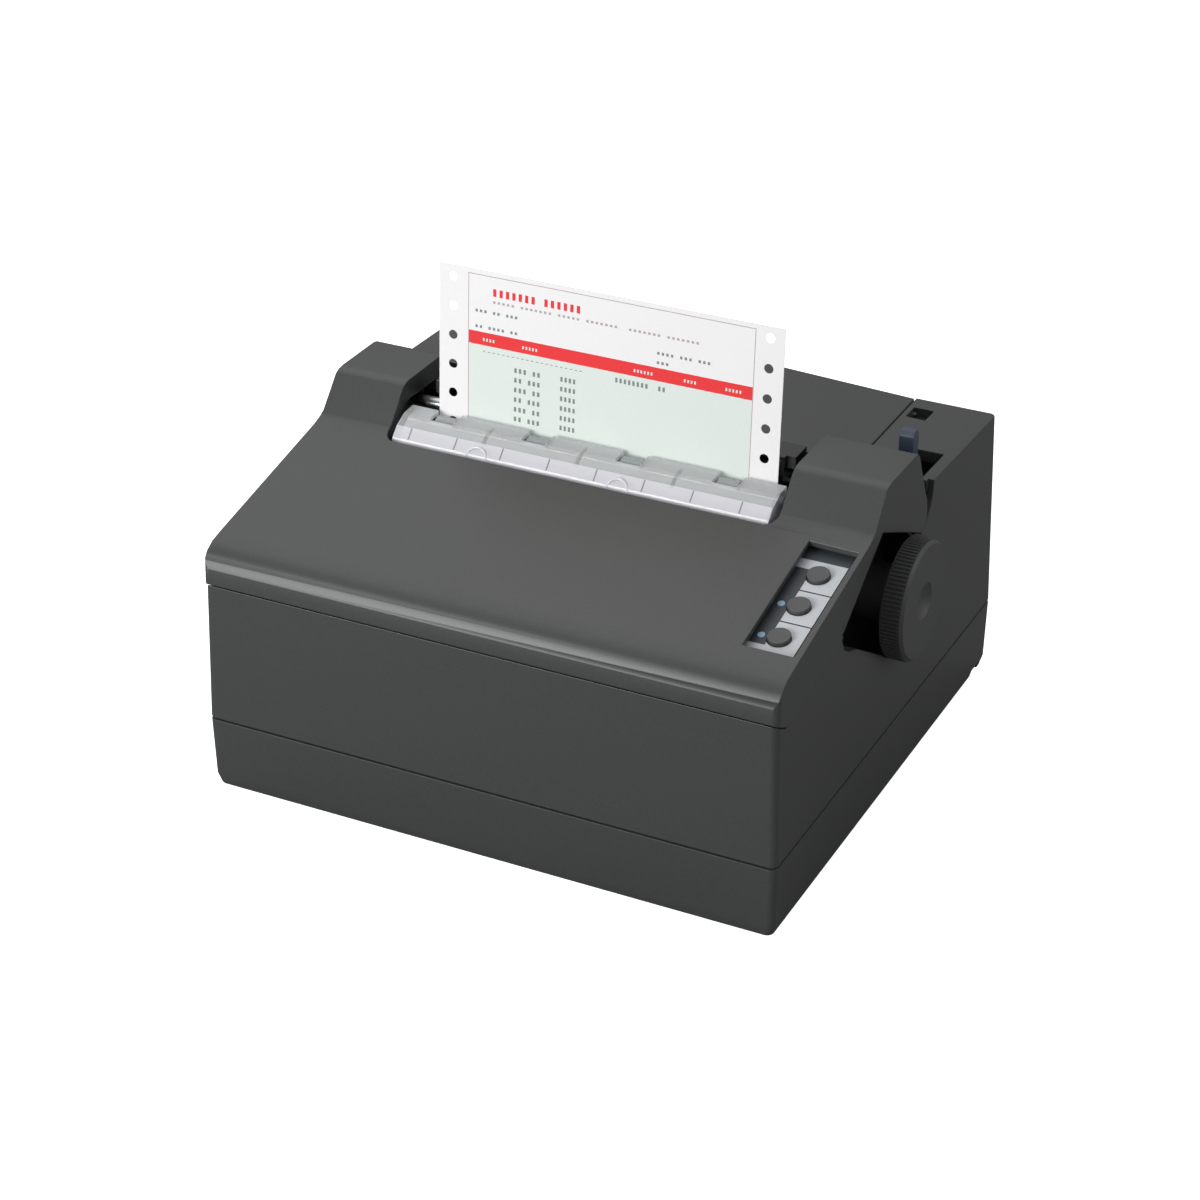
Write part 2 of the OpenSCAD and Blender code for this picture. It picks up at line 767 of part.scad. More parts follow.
module rear_cover() {
    x = rear_cover_x;
    len = rear_axis_y - deck_front;
    color(shell_grey) difference() {
        union() {
            intersection() {
                union() {
                    on_deck() along(0.8, len) rear_cover_profile(0, cover_over);
                    // Curled rear edge
                    across(x[0], x[1]) difference() {
                        circle_shape([rear_axis_y, rear_axis_z], curl_r);
                        circle_shape([rear_axis_y, rear_axis_z], curl_r - curl_t);
                        translate([rear_axis_y - 20, rear_axis_z - 20]) square([20, 20]);
                    }
                    on_deck() along(len - 1, len + curl_r) rear_cover_profile(0, cover_over);
                }
                // Nothing stands out behind the curl
                across(x[0], x[1]) union() {
                    circle_shape([rear_axis_y, rear_axis_z], curl_r);
                    translate([100, 100]) square([rear_axis_y - 100, 60]);
                    translate([rear_axis_y - 1, rear_axis_z]) square([curl_r + 1 - 0.6, 40]);
                }
            }
            for (bx = [[x[0], x[0] + 12], [x[1] - 14, x[1] - 2.6]])
                rod(bx[0], bx[1], rear_axis_y, rear_axis_z, rear_boss_r);
        }
        // Hollow under the raised left part
        on_deck() along(4, len - curl_r - 1) rear_cover_profile(curl_t, cover_over - curl_t);
        right_of_cover(x[1]);
        // The curl stays below the flat top
        on_deck() along(-1, len + 2 * curl_r) above_rear_cover();
        rod(x[0] - 1, x[0] + 8, rear_axis_y, rear_axis_z, rear_pin_r + run);
        rod(x[1] - 10, x[1] + 1, rear_axis_y, rear_axis_z, rear_pin_r + run);
    }
}

module rear_cover_pins() {
    x = rear_cover_x;
    color(steel) {
        rod(well_x[0] - pin_seat, x[0] + 7.5, rear_axis_y, rear_axis_z, rear_pin_r);
        rod(x[1] - 9.5, well_x[1] + pin_seat, rear_axis_y, rear_axis_z, rear_pin_r);
    }
}

module tear_off_outline(t) {
    polygon(concat(
        [[opening_front + 1.2 + t, tear_foot_z - 1], [opening_front + 1.2 + t, tear_z - 12.8]],
        [[opening_front + 3 + t, tear_z - 7.3 - t * 0.6], [opening_front + 7 + t * 0.7, tear_z - 3.5 - t]],
        [[tear_y - 7.2, tear_z - 0.5 - t], [tear_y - t, tear_z - t], [tear_y - t, tear_foot_z - 1]]
    ));
}

// Clear cover whose rear edge tears the form off
module tear_off_cover() {
    x = [opening_left + tear_inset, opening_right - tear_inset];
    t = tear_t;
    color(clear) difference() {
        union() {
            difference() {
                across(x[0], x[1]) tear_off_outline(0);
                across(x[0] + t, x[1] - t) tear_off_outline(t);
                box([x[0] + t, x[1] - t], [tear_y - 8.2, big], [0, tear_z - 2.3]);
                box([-big, big], [0, big], [0, tear_foot_z]);
            }
            // Arms that clip to the side plates
            for (ax = [[-plate_x + soft, x[0] + 1], [x[1] - 1, plate_x - soft]])
                box(ax, arm_y, [tear_foot_z, tear_foot_z + arm_h]);
            // Ribs that carry the roller axle, midway between the rollers
            for (i = [0:2]) let (rx = roller_x[i] + (roller_pitch - tear_rib_t) / 2)
                across(rx, rx + tear_rib_t) intersection() {
                    tear_off_outline(0.5);
                    translate([roller_y - 9.3, roller_z - 6]) square([tear_y - 1 - roller_y + 9.3, 12]);
                }
        }
        for (rx = roller_x) let (half = roller_w / 2 + 1)
            box([rx - half, rx + half], [roller_y - roller_r - 1.3, big], [roller_z - 12, big]);
        rod(-big, big, roller_y, roller_z, axle_r + run);
    }
}

module tension_roller_axle() {
    color(steel) rod(opening_left + tear_inset + 0.5, opening_right - tear_inset - 0.5, roller_y, roller_z, axle_r);
}

module tension_rollers() {
    color(white_plastic) for (rx = roller_x) difference() {
        rod(rx - roller_w / 2, rx + roller_w / 2, roller_y, roller_z, roller_r);
        rod(rx - roller_w, rx + roller_w, roller_y, roller_z, axle_r + run);
    }
}

module plate_outline() {
    difference() {
        union() {
            polygon([
                [frame_y[0], chassis_z], [frame_y[1], chassis_z], [frame_y[1], chassis_z + 20], [182, guide_z + 10],
                [160, guide_z + 12], [platen_y + 25.7, platen_z + 9.4], [platen_y + 7.2, platen_z + 16.6],
                polar(H, plate_lug_r, -40), H, polar(H, plate_lug_r, 140), [rod_y - 3, tractor_z + 7.1],
                [tractor_y - 7.9, tractor_z + 7.1], [platen_y - 28.3, platen_z + 33.4], [platen_y - 30.3, platen_z + 9.4],
                [guide_y + 12, guide_z + 22], [guide_y - 16, guide_z + 14], [frame_y[0], chassis_z + 20]
            ]);
            circle_shape(H, plate_lug_r);
        }
        circle_shape(P, platen_shaft_d / 2 + run);
        circle_shape(T, tractor_shaft_d / 2 + run);
        circle_shape(H, hinge_pin_d / 2);
        circle_shape([rod_y, rod_z], rod_d / 2);
        circle_shape([guide_y, guide_z], guide_d / 2);
    }
}

module side_plate_left() {
    color(steel) difference() {
        union() {
            across(-plate_x - plate_t, -plate_x) plate_outline();
            for (g = [idler_at, feed_idler_at]) rod(gear_x - gear_w - 0.5, -plate_x - eps, g[0], g[1], gear_pin_r);
        }
        rod(-big, -plate_x + 1, motor_at[0], motor_at[1], 4 * motor_shaft_r);
    }
}

module side_plate_right() {
    color(steel) {
        across(plate_x, plate_x + plate_t) plate_outline();
        rod(plate_x + eps, lever_x + 2.5, lever_y, lever_pivot_z, lever_pin_r);
    }
}

module chassis() {
    color(steel) difference() {
        union() {
            box([-plate_x, plate_x], frame_y, [chassis_z, chassis_z + chassis_t]);
            // Pin for the belt's idler pulley
            translate([pulley_x, belt_y, chassis_z + eps]) cylinder(r = pulley_pin_r, h = belt_z + belt_h - chassis_z);
            translate([pulley_x, belt_y, chassis_z + eps]) cylinder(r = pulley_pin_r + 3, h = belt_z - 0.2 - chassis_z);
        }
        translate([-pulley_x, belt_y, 0]) cylinder(r = drive_shaft_r + 3.5, h = big);
    }
}

module platen_roller() {
    color(dark) difference() {
        rod(platen_x[0], platen_x[1], platen_y, platen_z, platen_r);
        rod(platen_x[0] - 1, platen_x[1] + 1, platen_y, platen_z, platen_shaft_d / 2);
    }
}

module platen_shaft() {
    color(steel) rod(gear_x - gear_w - 2, knob_face - 4, platen_y, platen_z, platen_shaft_d / 2);
}

module paper_feed_knob() {
    x1 = knob_face;
    x0 = x1 - knob_w;
    color(dark) difference() {
        union() {
            rod(x0, x1 - knob_chamfer, platen_y, platen_z, knob_r - rib_r);
            translate([x1 - knob_chamfer, platen_y, platen_z]) rotate([0, 90, 0])
                cylinder(r1 = knob_r - rib_r, r2 = knob_r - rib_r - knob_chamfer, h = knob_chamfer, $fn = 96);
            // Grip ribs around the rim
            for (i = [0:rib_count - 1]) rotate_about_platen(i * 360 / rib_count)
                rod(x0 + 0.6, x1 - knob_chamfer - 0.4, platen_y + knob_r - rib_r, platen_z, rib_r);
            rod(recess_floor + 1, x0 + 1, platen_y, platen_z, knob_hub_r);
        }
        rod(0, knob_face - 4, platen_y, platen_z, platen_shaft_d / 2);
        // Round dimple in the face
        translate([x1 + dimple_up, platen_y, platen_z]) sphere(r = dimple_r, $fn = 128);
    }
}

module rotate_about_platen(a) {
    translate([0, platen_y, platen_z]) rotate([a, 0, 0]) translate([0, -platen_y, -platen_z]) children();
}

// Spur gear in the y and z plane, teeth drawn thin so that meshed pairs run free
module gear(at, n, turn, bore) {
    m = gear_m;
    r = pitch_r(n);
    root = r - 1.15 * m;
    tip = r + 0.85 * m;
    pitch = 360 / n;
    across(gear_x - gear_w, gear_x) translate(at) difference() {
        union() {
            circle(r = root + 0.02, $fn = 96);
            for (i = [0:n - 1]) rotate(turn + i * pitch) polygon([
                [root - 0.3, -0.33 * PI * m], [root, -0.33 * PI * m], [r, -0.215 * PI * m], [tip, -0.1 * PI * m],
                [tip, 0.1 * PI * m], [r, 0.215 * PI * m], [root, 0.33 * PI * m], [root - 0.3, 0.33 * PI * m]
            ]);
        }
        circle(r = bore);
    }
}

module platen_gear() {
    color(white_plastic) gear(P, platen_teeth, 0, platen_shaft_d / 2);
}

module feed_idler_gear() {
    color(white_plastic) gear(feed_idler_at, feed_idler_teeth, feed_idler_turn, gear_pin_r + run);
}

module tractor_idler_gear() {
    color(white_plastic) gear(idler_at, idler_teeth, idler_turn, gear_pin_r + run);
}

module tractor_gear() {
    color(white_plastic) gear(T, tractor_teeth, tractor_turn, tractor_shaft_d / 2);
}

module feed_pinion() {
    color("gold") {
        gear(motor_at, pinion_teeth, pinion_turn, motor_shaft_r);
        rod(gear_x - gear_w, -plate_x + 2, motor_at[0], motor_at[1], motor_shaft_r);
    }
}

module feed_motor() {
    color(dark) difference() {
        union() {
            rod(-plate_x, -plate_x + motor_len, motor_at[0], motor_at[1], motor_r);
            box([-plate_x, -plate_x + 1.5], [motor_at[0] - motor_ear, motor_at[0] + motor_ear],
                [motor_at[1] - motor_ear_h, motor_at[1] + motor_ear_h]);
        }
        rod(-plate_x - 1, -plate_x + 2.5, motor_at[0], motor_at[1], motor_shaft_r + run);
    }
}

module tractor_shaft() {
    color(steel) rod(gear_x - gear_w - 1, plate_x + plate_t + 1, tractor_y, tractor_z, tractor_shaft_d / 2);
}

module sprocket_wheels() {
    w = sprocket_w;
    color(dark) for (x = [-tractor_x, tractor_x]) difference() {
        union() {
            rod(x - w / 2, x + w / 2, tractor_y, tractor_z, sprocket_r - paper_t / 2 - slip);
            for (i = [0:pin_count - 1])
                translate([x, tractor_y, tractor_z]) rotate([180 - lean + i * 360 / pin_count, 0, 0])
                    rotate([-90, 0, 0]) cylinder(r = pin_r, h = pin_tip_r);
        }
        rod(x - w, x + w, tractor_y, tractor_z, tractor_shaft_d / 2);
    }
}

module tractor_rod() {
    color(steel) rod(-plate_x - plate_t, plate_x + plate_t, rod_y, rod_z, rod_d / 2);
}

// Frame of one tractor: two cheeks joined behind the wheel, riding on shaft and rod
module tractor_unit(x) {
    y = tractor_y;
    z = tractor_z;
    inner = cheek_x - cheek_t / 2 + 0.1;
    color(dark) difference() {
        union() {
            for (s = [-1, 1]) translate([x + s * cheek_x, 0, 0]) across(-cheek_t / 2, cheek_t / 2) {
                polygon([
                    [y - 8.4, z - 6.4], [y - 9.3, z + 6.6], [y - 6.4, tractor_top - slip], [tractor_hinge[0] - 1, tractor_top - slip],
                    [tractor_hinge[0] + 1.8, tractor_hinge[1] - 0.8], [y + 16.1, z - 0.4], [y + 16.1, z - 13.4], [y - 1.9, z - 13.4]
                ]);
                circle_shape(tractor_hinge, lid_pin_r + 1);
            }
            box([x - inner, x + inner], [y + 13, y + 16.1], [z - 7.9, z - 0.4]);
        }
        rod(x - 9, x + 9, tractor_y, tractor_z, tractor_shaft_d / 2 + slip);
        rod(x - 9, x + 9, rod_y, rod_z, rod_d / 2 + soft);
        rod(x - 9, x + 9, tractor_hinge[0], tractor_hinge[1], lid_pin_r + run);
    }
}

module tractor_unit_left() { tractor_unit(-tractor_x); }

module tractor_unit_right() { tractor_unit(tractor_x); }

// Flip lid with a finger tab; its stubs turn in the cheeks
module tractor_lid(side) {
    x = side * tractor_x;
    y = tractor_hinge[0];
    z = tractor_hinge[1];
    tab = [side * (tractor_x + lid_half_w), side * (tractor_x + lid_half_w + tab_w)];
    strap = cheek_x - cheek_t / 2 - 0.65;
    color(dark) {
        for (s = [-1, 1]) {
            rod(x + s * (strap + 1.75) - 2.1, x + s * (strap + 1.75) + 2.1, y, z, lid_pin_r);
            box([x + s * strap - 0.45, x + s * strap + 0.45], [y - 1, y + 0.5], [z, tractor_top + eps]);
        }
        box([x - lid_half_w, x + lid_half_w], [tractor_y - 8.4, y + 0.5], [tractor_top, tractor_top + lid_t]);
        box([min(tab) - eps, max(tab) + eps], [tractor_y - 6.1, y + 0.5], [tractor_top - tab_h, tractor_top + lid_t]);
    }
}

module tractor_lid_left() { tractor_lid(-1); }

module tractor_lid_right() { tractor_lid(1); }

// Trough round the platen and flat floor for the tail of the form
module paper_guide() {
    r = sheet_r + paper_t + soft;
    t = guide_t;
    x = [-guide_x, guide_x];
    color(dark) difference() {
        paper_guide_body(r, t, x);
        // Room for the feed motor beside it
        rod(-plate_x, -plate_x + motor_len + 1, motor_at[0], motor_at[1], motor_r + 1);
    }
}

module paper_guide_body(r, t, x) {
    union() {
        across(x[0], x[1]) difference() {
            circle_shape(P, r + t);
            circle_shape(P, r);
            polygon([P, polar(P, 60, -165), polar(P, 80, 150), polar(P, 80, 45), polar(P, 80, -45), polar(P, 60, -90)]);
        }
        box(x, [platen_y - 0.5, guide_back], [platen_z - r - t, platen_z - r]);
        for (gx = [x[0], x[1] - guide_leg_t])
            box([gx, gx + guide_leg_t], guide_leg_y, [chassis_z + chassis_t, platen_z - r - t + eps]);
    }
}

// Form: tail on the guide, half turn round the platen, then the leaning sheet
module paper_form() {
    r0 = sheet_r;
    r1 = sheet_r + paper_t;
    wrap = PI / 180 * (90 + lean) * (sheet_r + paper_t / 2);
    tail = paper_len - sheet_top_len - wrap;
    x = [-paper_w / 2, paper_w / 2];
    color("white") difference() {
        across(x[0], x[1]) polygon(concat(
            [P + [tail, -r1]], arc(platen_y, platen_z, r1, 270, 180 - lean, 24), [on_sheet(-r1, sheet_top_len), on_sheet(-r0, sheet_top_len)],
            arc(platen_y, platen_z, r0, 180 - lean, 270, 24), [P + [tail, -r0]]
        ));
        // Sprocket holes, one pitch apart from the one on the wheel's pin
        for (sx = [-tractor_x, tractor_x]) for (k = [-2:5])
            translate([sx, platen_y, platen_z]) rotate([-lean, 0, 0])
                translate([0, -r1 - 1, tractor_up + k * hole_pitch]) rotate([-90, 0, 0]) cylinder(d = hole_d, h = 3);
    }
}

// Point at height b up the leaning sheet and a in front of the platen's middle
function on_sheet(a, b) = P + [a * cos(lean) + b * sin(lean), b * cos(lean) - a * sin(lean)];

// Height of the wheel's pin along the leaning sheet, above its tangent point
tractor_up = (tractor_z - platen_z) * cos(lean) + (tractor_y - platen_y) * sin(lean);

module guide_shaft() {
    color(steel) rod(-plate_x - plate_t, plate_x + plate_t, guide_y, guide_z, guide_d / 2);
}

module carriage_rail() {
    color(steel) box([-plate_x, plate_x], [rail_y, rail_y + rail_t], [chassis_z + chassis_t, rail_z]);
}

module carriage() {
    x = carriage_x;
    color(dark) difference() {
        union() {
            box([x - carriage_w / 2, x + carriage_w / 2], [guide_y - 9, rail_y + 5], [guide_z - 9, guide_z + 8]);
            box([x - saddle_w / 2, x + saddle_w / 2], [guide_y - 6, rail_y + 7], [guide_z + 8 - eps, saddle_z]);
            // Clamp that holds the belt
            box([x - 5, x + 5], [belt_y + pulley_r - 1.1, guide_y - 9 + eps], [belt_z - 2, guide_z]);
        }
        rod(x - carriage_w, x + carriage_w, guide_y, guide_z, guide_d / 2 + run);
        box([x - carriage_w, x + carriage_w], [rail_y - soft, rail_y + rail_t + soft], [0, rail_z + soft]);
        box([x - carriage_w, x + carriage_w], [belt_y + pulley_r, belt_y + pulley_r + 2 * slip + belt_t],
            [belt_z - slip, belt_z + belt_h + slip]);
    }
}

module print_head() {
    x = carriage_x;
    color(steel) {
        w = head_w / 2;
        foot = saddle_z + head_foot;
        nose_y = paper_front - nose_gap;
        box([x - w, x + w], head_y, [saddle_z, foot]);
        for (i = [0:7]) let (y = head_y[0] + i * fin_pitch) box([x - w, x + w], [y, y + fin_t], [foot - eps, head_top]);
        box([x - w + 3, x + w - 3], head_y, [foot - eps, head_top - 2]);
        translate([x, head_y[1] - 0.1, head_z]) rotate([-90, 0, 0]) cylinder(r1 = 8, r2 = 4, h = nose_y - head_y[1] - 2.2);
        box([x - nose_w / 2, x + nose_w / 2], [nose_y - 3.2, nose_y], [head_z - nose_h / 2, head_z + nose_h / 2]);
    }
}

module carriage_motor() {
    color(dark) difference() {
        translate([-pulley_x, belt_y, drive_motor_z]) cylinder(r = drive_motor_r, h = chassis_z - drive_motor_z);
        translate([-pulley_x, belt_y, chassis_z - 4]) cylinder(r = drive_shaft_r + run, h = 6);
    }
}

module drive_pulley() {
    color(white_plastic) {
        translate([-pulley_x, belt_y, belt_z]) cylinder(r = pulley_r, h = belt_h);
        for (z = [belt_z - 1, belt_z + belt_h])
            translate([-pulley_x, belt_y, z]) cylinder(r = pulley_r + flange, h = flange_t);
        translate([-pulley_x, belt_y, chassis_z - 3]) cylinder(r = drive_shaft_r, h = belt_z - chassis_z + 3 + eps);
    }
}

module idler_pulley() {
    color(white_plastic) difference() {
        union() {
            translate([pulley_x, belt_y, belt_z]) cylinder(r = pulley_r, h = belt_h);
            translate([pulley_x, belt_y, belt_z + belt_h - eps]) cylinder(r = pulley_r + flange, h = flange_t);
        }
        translate([pulley_x, belt_y, 0]) cylinder(r = pulley_pin_r + run, h = big);
    }
}

module timing_belt() {
    r0 = pulley_r + slip;
    r1 = r0 + belt_t;
    color(dark) translate([0, belt_y, belt_z + 0.2]) difference() {
        linear_extrude(belt_h - 0.4) belt_ring(r1);
        translate([0, 0, -1]) linear_extrude(belt_h + 2) belt_ring(r0);
    }
}

module belt_ring(r) {
    for (x = [-pulley_x, pulley_x]) translate([x, 0]) circle(r = r);
    translate([-pulley_x, -r]) square([2 * pulley_x, 2 * r]);
}

// Flat cable folded once, from the chassis to the carriage
module head_cable() {
    z0 = chassis_z + chassis_t;
    r = cable_r;
    t = cable_t;
    x1 = cable_fold_x;
    color(white_plastic) translate([0, cable_y, 0]) rotate([90, 0, 0]) linear_extrude(cable_w) {
        translate([carriage_x - 30, z0]) square([x1 - carriage_x + 30, t]);
        translate([x1, z0 + r]) difference() {
            circle(r = r);
            circle(r = r - t);
            translate([-r - 1, -r - 1]) square([r + 1, 2 * r + 2]);
        }
        translate([carriage_x - 10, z0 + 2 * r - t]) square([x1 - carriage_x + 10, t]);
    }
}

module ribbon_cartridge() {
    x = cartridge_x;
    y = cartridge_y;
    z = cartridge_z;
    t = cartridge_t;
    color(dark) difference() {
        union() {
            box([-x, x], y, z);
            for (s = [0, 1]) mirror([s, 0, 0]) {
                // Horn that leads the ribbon past the head
                box(horn_x, [y[1] - 1, ribbon_y - 3.6], horn_z);
                box([horn_x[0] - horn_foot, horn_x[1] + 2 * horn_foot], [y[1] - 8, y[1]], [horn_z[0], z[0] + 1]);
                // Arm that rests against the side plate
                box([x - 1, plate_x - soft], cartridge_arm_y, [z[0], z[0] + cartridge_arm_h]);
            }
        }
        translate([wind_at[0], wind_at[1], z[0] + t]) cylinder(r = wind_shaft_r + run, h = 20);
        box([-x + 8 * t, x - 8 * t], [y[0] + 2 * t, y[1] - 2 * t], [z[0] + t, z[1] - t]);
    }
}

module ribbon_knob() {
    z = cartridge_z[1] + 0.2;
    color(white_plastic) translate([wind_at[0], wind_at[1], 0]) {
        translate([0, 0, z]) cylinder(r = wind_r, h = wind_h);
        translate([0, 0, cartridge_z[0] + cartridge_t + 0.2]) cylinder(r = wind_shaft_r, h = z - cartridge_z[0] - cartridge_t - 0.1);
        for (i = [0:11]) translate([0, 0, z]) rotate(i * 30) translate([wind_r - 0.4, 0, 0]) cylinder(r = wind_rib_r, h = wind_h);
    }
}

module ink_ribbon() {
    x = horn_x[0] + 3.5;
    y = [ribbon_y, ribbon_y + ribbon_t];
    color("black") {
        box([-x - 0.1, x + 0.1], y, ribbon_z);
        for (s = [-1, 1]) box([s * x - ribbon_t / 2, s * x + ribbon_t / 2], [ribbon_y - 3.6, y[1] - run], ribbon_z);
    }
}

// Moves a piece drawn flat, with z = 0 at the panel's face, into the cover's slope
module on_slope(y) {
    translate([0, y, slope_at(y)]) rotate([lid_slope, 0, 0]) translate([0, 0, -panel_drop]) children();
}

module control_panel() {
    x = panel_x;
    color(label_grey) difference() {
        union() {
            on_slope(panel_y[0]) difference() {
                // Its rear end is shallower, above the knob's recess
                across(x[0], x[1]) polygon([
                    [0, 0], [0, -panel_t], [panel_len - 11, -panel_t], [panel_len, -panel_t * 0.3], [panel_len, 0]
                ]);
                box([x[0] + panel_skin, x[1] - panel_skin], [panel_skin, panel_len - panel_skin], [-panel_t - 1, -panel_skin]);
            }
            // Legs on the ledge inside the case
            for (y = [ledge_y[0] + 3, ledge_y[1] - 3 - leg_w])
                box([x[1] - panel_skin, x[1]], [y, y + leg_w], [leg_foot_z, slope_at(y) - panel_drop - panel_t + 3]);
        }
        for (i = [0:2]) button_place(i) translate([0, 0, -panel_t]) cylinder(d = button_d + 2 * slip, h = 20);
        for (i = [0:1]) led_place(i) translate([0, 0, -2 * panel_skin]) cylinder(r = led_r + soft, h = 20);
    }
}

module button_place(i) {
    on_slope(panel_y[0]) translate([button_x, up_the_panel(i), 0]) children();
}

module led_place(i) {
    on_slope(panel_y[0]) translate([led_x, up_the_panel(i), 0]) children();
}

function up_the_panel(i) = (button_first_y - panel_y[0]) / cos(lid_slope) + i * button_pitch;

module panel_board() {
    x = panel_x;
    color(board_green) {
        edge = panel_skin + 0.2;
        on_slope(panel_y[0]) box([x[0] + edge, x[1] - edge], [edge, panel_len - 12], [key_top - key_h - 1.5, key_top - key_h]);
        for (i = [0:2]) button_place(i) translate([-key_w / 2, -key_w / 2, key_top - key_h - eps]) cube([key_w, key_w, key_h + eps]);
    }
}

module panel_leds() {
    color("white") for (i = [0:1]) led_place(i) translate([0, 0, key_top - key_h]) cylinder(r = led_r, h = key_h - key_top + slip);
}

module button(i) {
    z = key_top + 0.4 + button_travel;
    color(dark) button_place(i) {
        translate([0, 0, z]) cylinder(d = button_d, h = button_out - z);
        translate([0, 0, z]) cylinder(d = button_d + 2 * button_flange, h = -panel_skin - slip - z);
    }
}

module button_front() { button(0); }

module button_middle() { button(1); }

module button_rear() { button(2); }

module release_lever() {
    x = lever_x;
    t = lever_t;
    color([0.25, 0.3, 0.4]) difference() {
        union() {
            rod(x - t, x, lever_y, lever_pivot_z, 2 * t);
            box([x - t, x], [lever_y - t, lever_y + t], [lever_pivot_z, lever_z[0] + 8]);
            across(x - t - 0.5, x + t - 0.2) polygon([
                [lever_y - t, lever_z[0]], [lever_y + t, lever_z[0]], [lever_y + t, lever_z[1] - 2],
                [lever_y + 1.6, lever_z[1]], [lever_y - 1.6, lever_z[1]], [lever_y - t, lever_z[1] - 2]
            ]);
        }
        rod(x - 10, x + 10, lever_y, lever_pivot_z, lever_pin_r + run);
    }
}

module main_board() {
    color(board_green) {
        top = board_z + board_t;
        box(board_x, board_y, [board_z, top]);
        for (c = CHIPS) box([c[0], c[0] + c[2]], [c[1], c[1] + c[3]], [top - eps, top + c[4]]);
        for (i = [0:3]) translate([board_x[1] - 70 + i * can_pitch, board_y[1] - 30, top - eps]) cylinder(r = can_r, h = can_h);
    }
}

module power_supply() {
    color("dimgray") difference() {
        box(supply_x, supply_y, [supply_z, supply_z + supply_h]);
        // Cooling slots in the lid
        for (i = [0:7]) let (y = supply_y[0] + 8 + i * 6)
            box([supply_x[0] + 8, supply_x[1] - 8], [y, y + 3], [supply_z + supply_h - 1.5, big]);
    }
}

module mains_inlet() {
    x = inlet_x;
    z = inlet_z;
    color(dark) difference() {
        box(x, [case_d - inlet_deep, case_d - port_face], z);
        box([x[0] + inlet_rim, x[1] - inlet_rim], [case_d - inlet_deep + 3, case_d + 5], [z[0] + 3, z[1] - 3]);
    }
    // Its three contacts, the middle one higher
    color(steel) for (i = [-1:1]) {
        c = (x[0] + x[1]) / 2 + contact_pitch * i;
        low = z[0] + (i == 0 ? 11 : 6);
        box([c - contact_t / 2, c + contact_t / 2], [case_d - inlet_deep + 2, case_d - 7], [low, low + 2 * contact_t]);
    }
}

module switch_frame() {
    x = switch_x;
    z = inlet_z;
    color(dark) {
        difference() {
            box(x, [case_d - switch_deep, case_d - port_face], z);
            box([x[0] + switch_rim, x[1] - switch_rim], [0, big], [z[0] + 0.8, z[1] - 0.8]);
        }
        for (r = [[x[0] + 1, x[0] + 3], [x[1] - 3, x[1] - 1]]) rod(r[0], r[1], rocker_at[0], rocker_at[1], rocker_pin_r);
    }
}

// Rocker, pressed in at the bottom
module power_switch() {
    color(dark) difference() {
        z = rocker_at[1];
        across(switch_x[0] + switch_rim + 0.2, switch_x[1] - switch_rim - 0.2) polygon([
            [case_d - 11, z - 4.5], [case_d - 4.8, z - 8], [case_d - 4.2, z], [case_d - 1.4, z + 7.6], [case_d - 11, z + 4.5]
        ]);
        for (r = [[switch_x[0] + 1, switch_x[0] + 3.2], [switch_x[1] - 3.2, switch_x[1] - 1]])
            rod(r[0], r[1], rocker_at[0], rocker_at[1], rocker_pin_r + run);
    }
}

module data_port() {
    x = data_x;
    z = data_z;
    color(steel) difference() {
        box(x, [case_d - port_deep, case_d - port_face], z);
        box([x[0] + 5, x[1] - 5], [case_d - 7, case_d + 1], [z[0] + 3, z[1] - 3]);
    }
}

module serial_port() {
    x = serial_x;
    z = serial_z;
    color(white_plastic) difference() {
        box(x, [case_d - port_deep, case_d - port_face], z);
        box([x[0] + 4, x[1] - 4], [case_d - 9, case_d + 1], [z[0] + 1.5, z[1] - 1.5]);
        box([x[0] + 2.5, x[1] - 2.5], [case_d - 9, case_d + 1], [z[0] + 4, z[1] - 4]);
    }
}

module rubber_feet() {
    color(dark) for (f = foot_places) translate([f[0], f[1], -foot_h]) cylinder(r = foot_r, h = foot_h);
}

// Room for the screws that hold the base to the upper case, driven from below
module screw_heads(r, z) {
    for (p = case_screw_places) translate([p[0], p[1], -1]) cylinder(r = r, h = z + 1);
}

module case_screws() {
    color(steel) for (p = case_screw_places) translate([p[0], p[1], 0.8]) {
        cylinder(r = screw_r, h = screw_len);
        cylinder(r = screw_head_r, h = 2);
    }
}

placed() base_case();
placed() upper_case();
placed() front_cover();
placed() rear_cover();
placed() tear_off_cover();
placed() tension_roller_axle();
placed() tension_rollers();
placed() cover_hinge_pins();
placed() rear_cover_pins();
placed() side_plate_left();
placed() side_plate_right();
placed() chassis();
placed() platen_roller();
placed() platen_shaft();
placed() paper_feed_knob();
placed() platen_gear();
placed() feed_idler_gear();
placed() feed_pinion();
placed() feed_motor();
placed() tractor_idler_gear();
placed() tractor_gear();
placed() tractor_shaft();
placed() sprocket_wheels();
placed() tractor_rod();
placed() tractor_unit_left();
placed() tractor_unit_right();
placed() tractor_lid_left();
placed() tractor_lid_right();
placed() paper_guide();
placed() paper_form();
placed() guide_shaft();
placed() carriage_rail();
placed() carriage();
placed() print_head();
placed() carriage_motor();
placed() drive_pulley();
placed() idler_pulley();
placed() timing_belt();
placed() head_cable();
placed() ribbon_cartridge();
placed() ribbon_knob();
placed() ink_ribbon();
placed() control_panel();
placed() panel_board();
placed() panel_leds();
placed() button_front();
placed() button_middle();
placed() button_rear();
placed() release_lever();
placed() main_board();
placed() power_supply();
placed() mains_inlet();
placed() switch_frame();
placed() power_switch();
placed() data_port();
placed() serial_port();
placed() rubber_feet();
placed() case_screws();
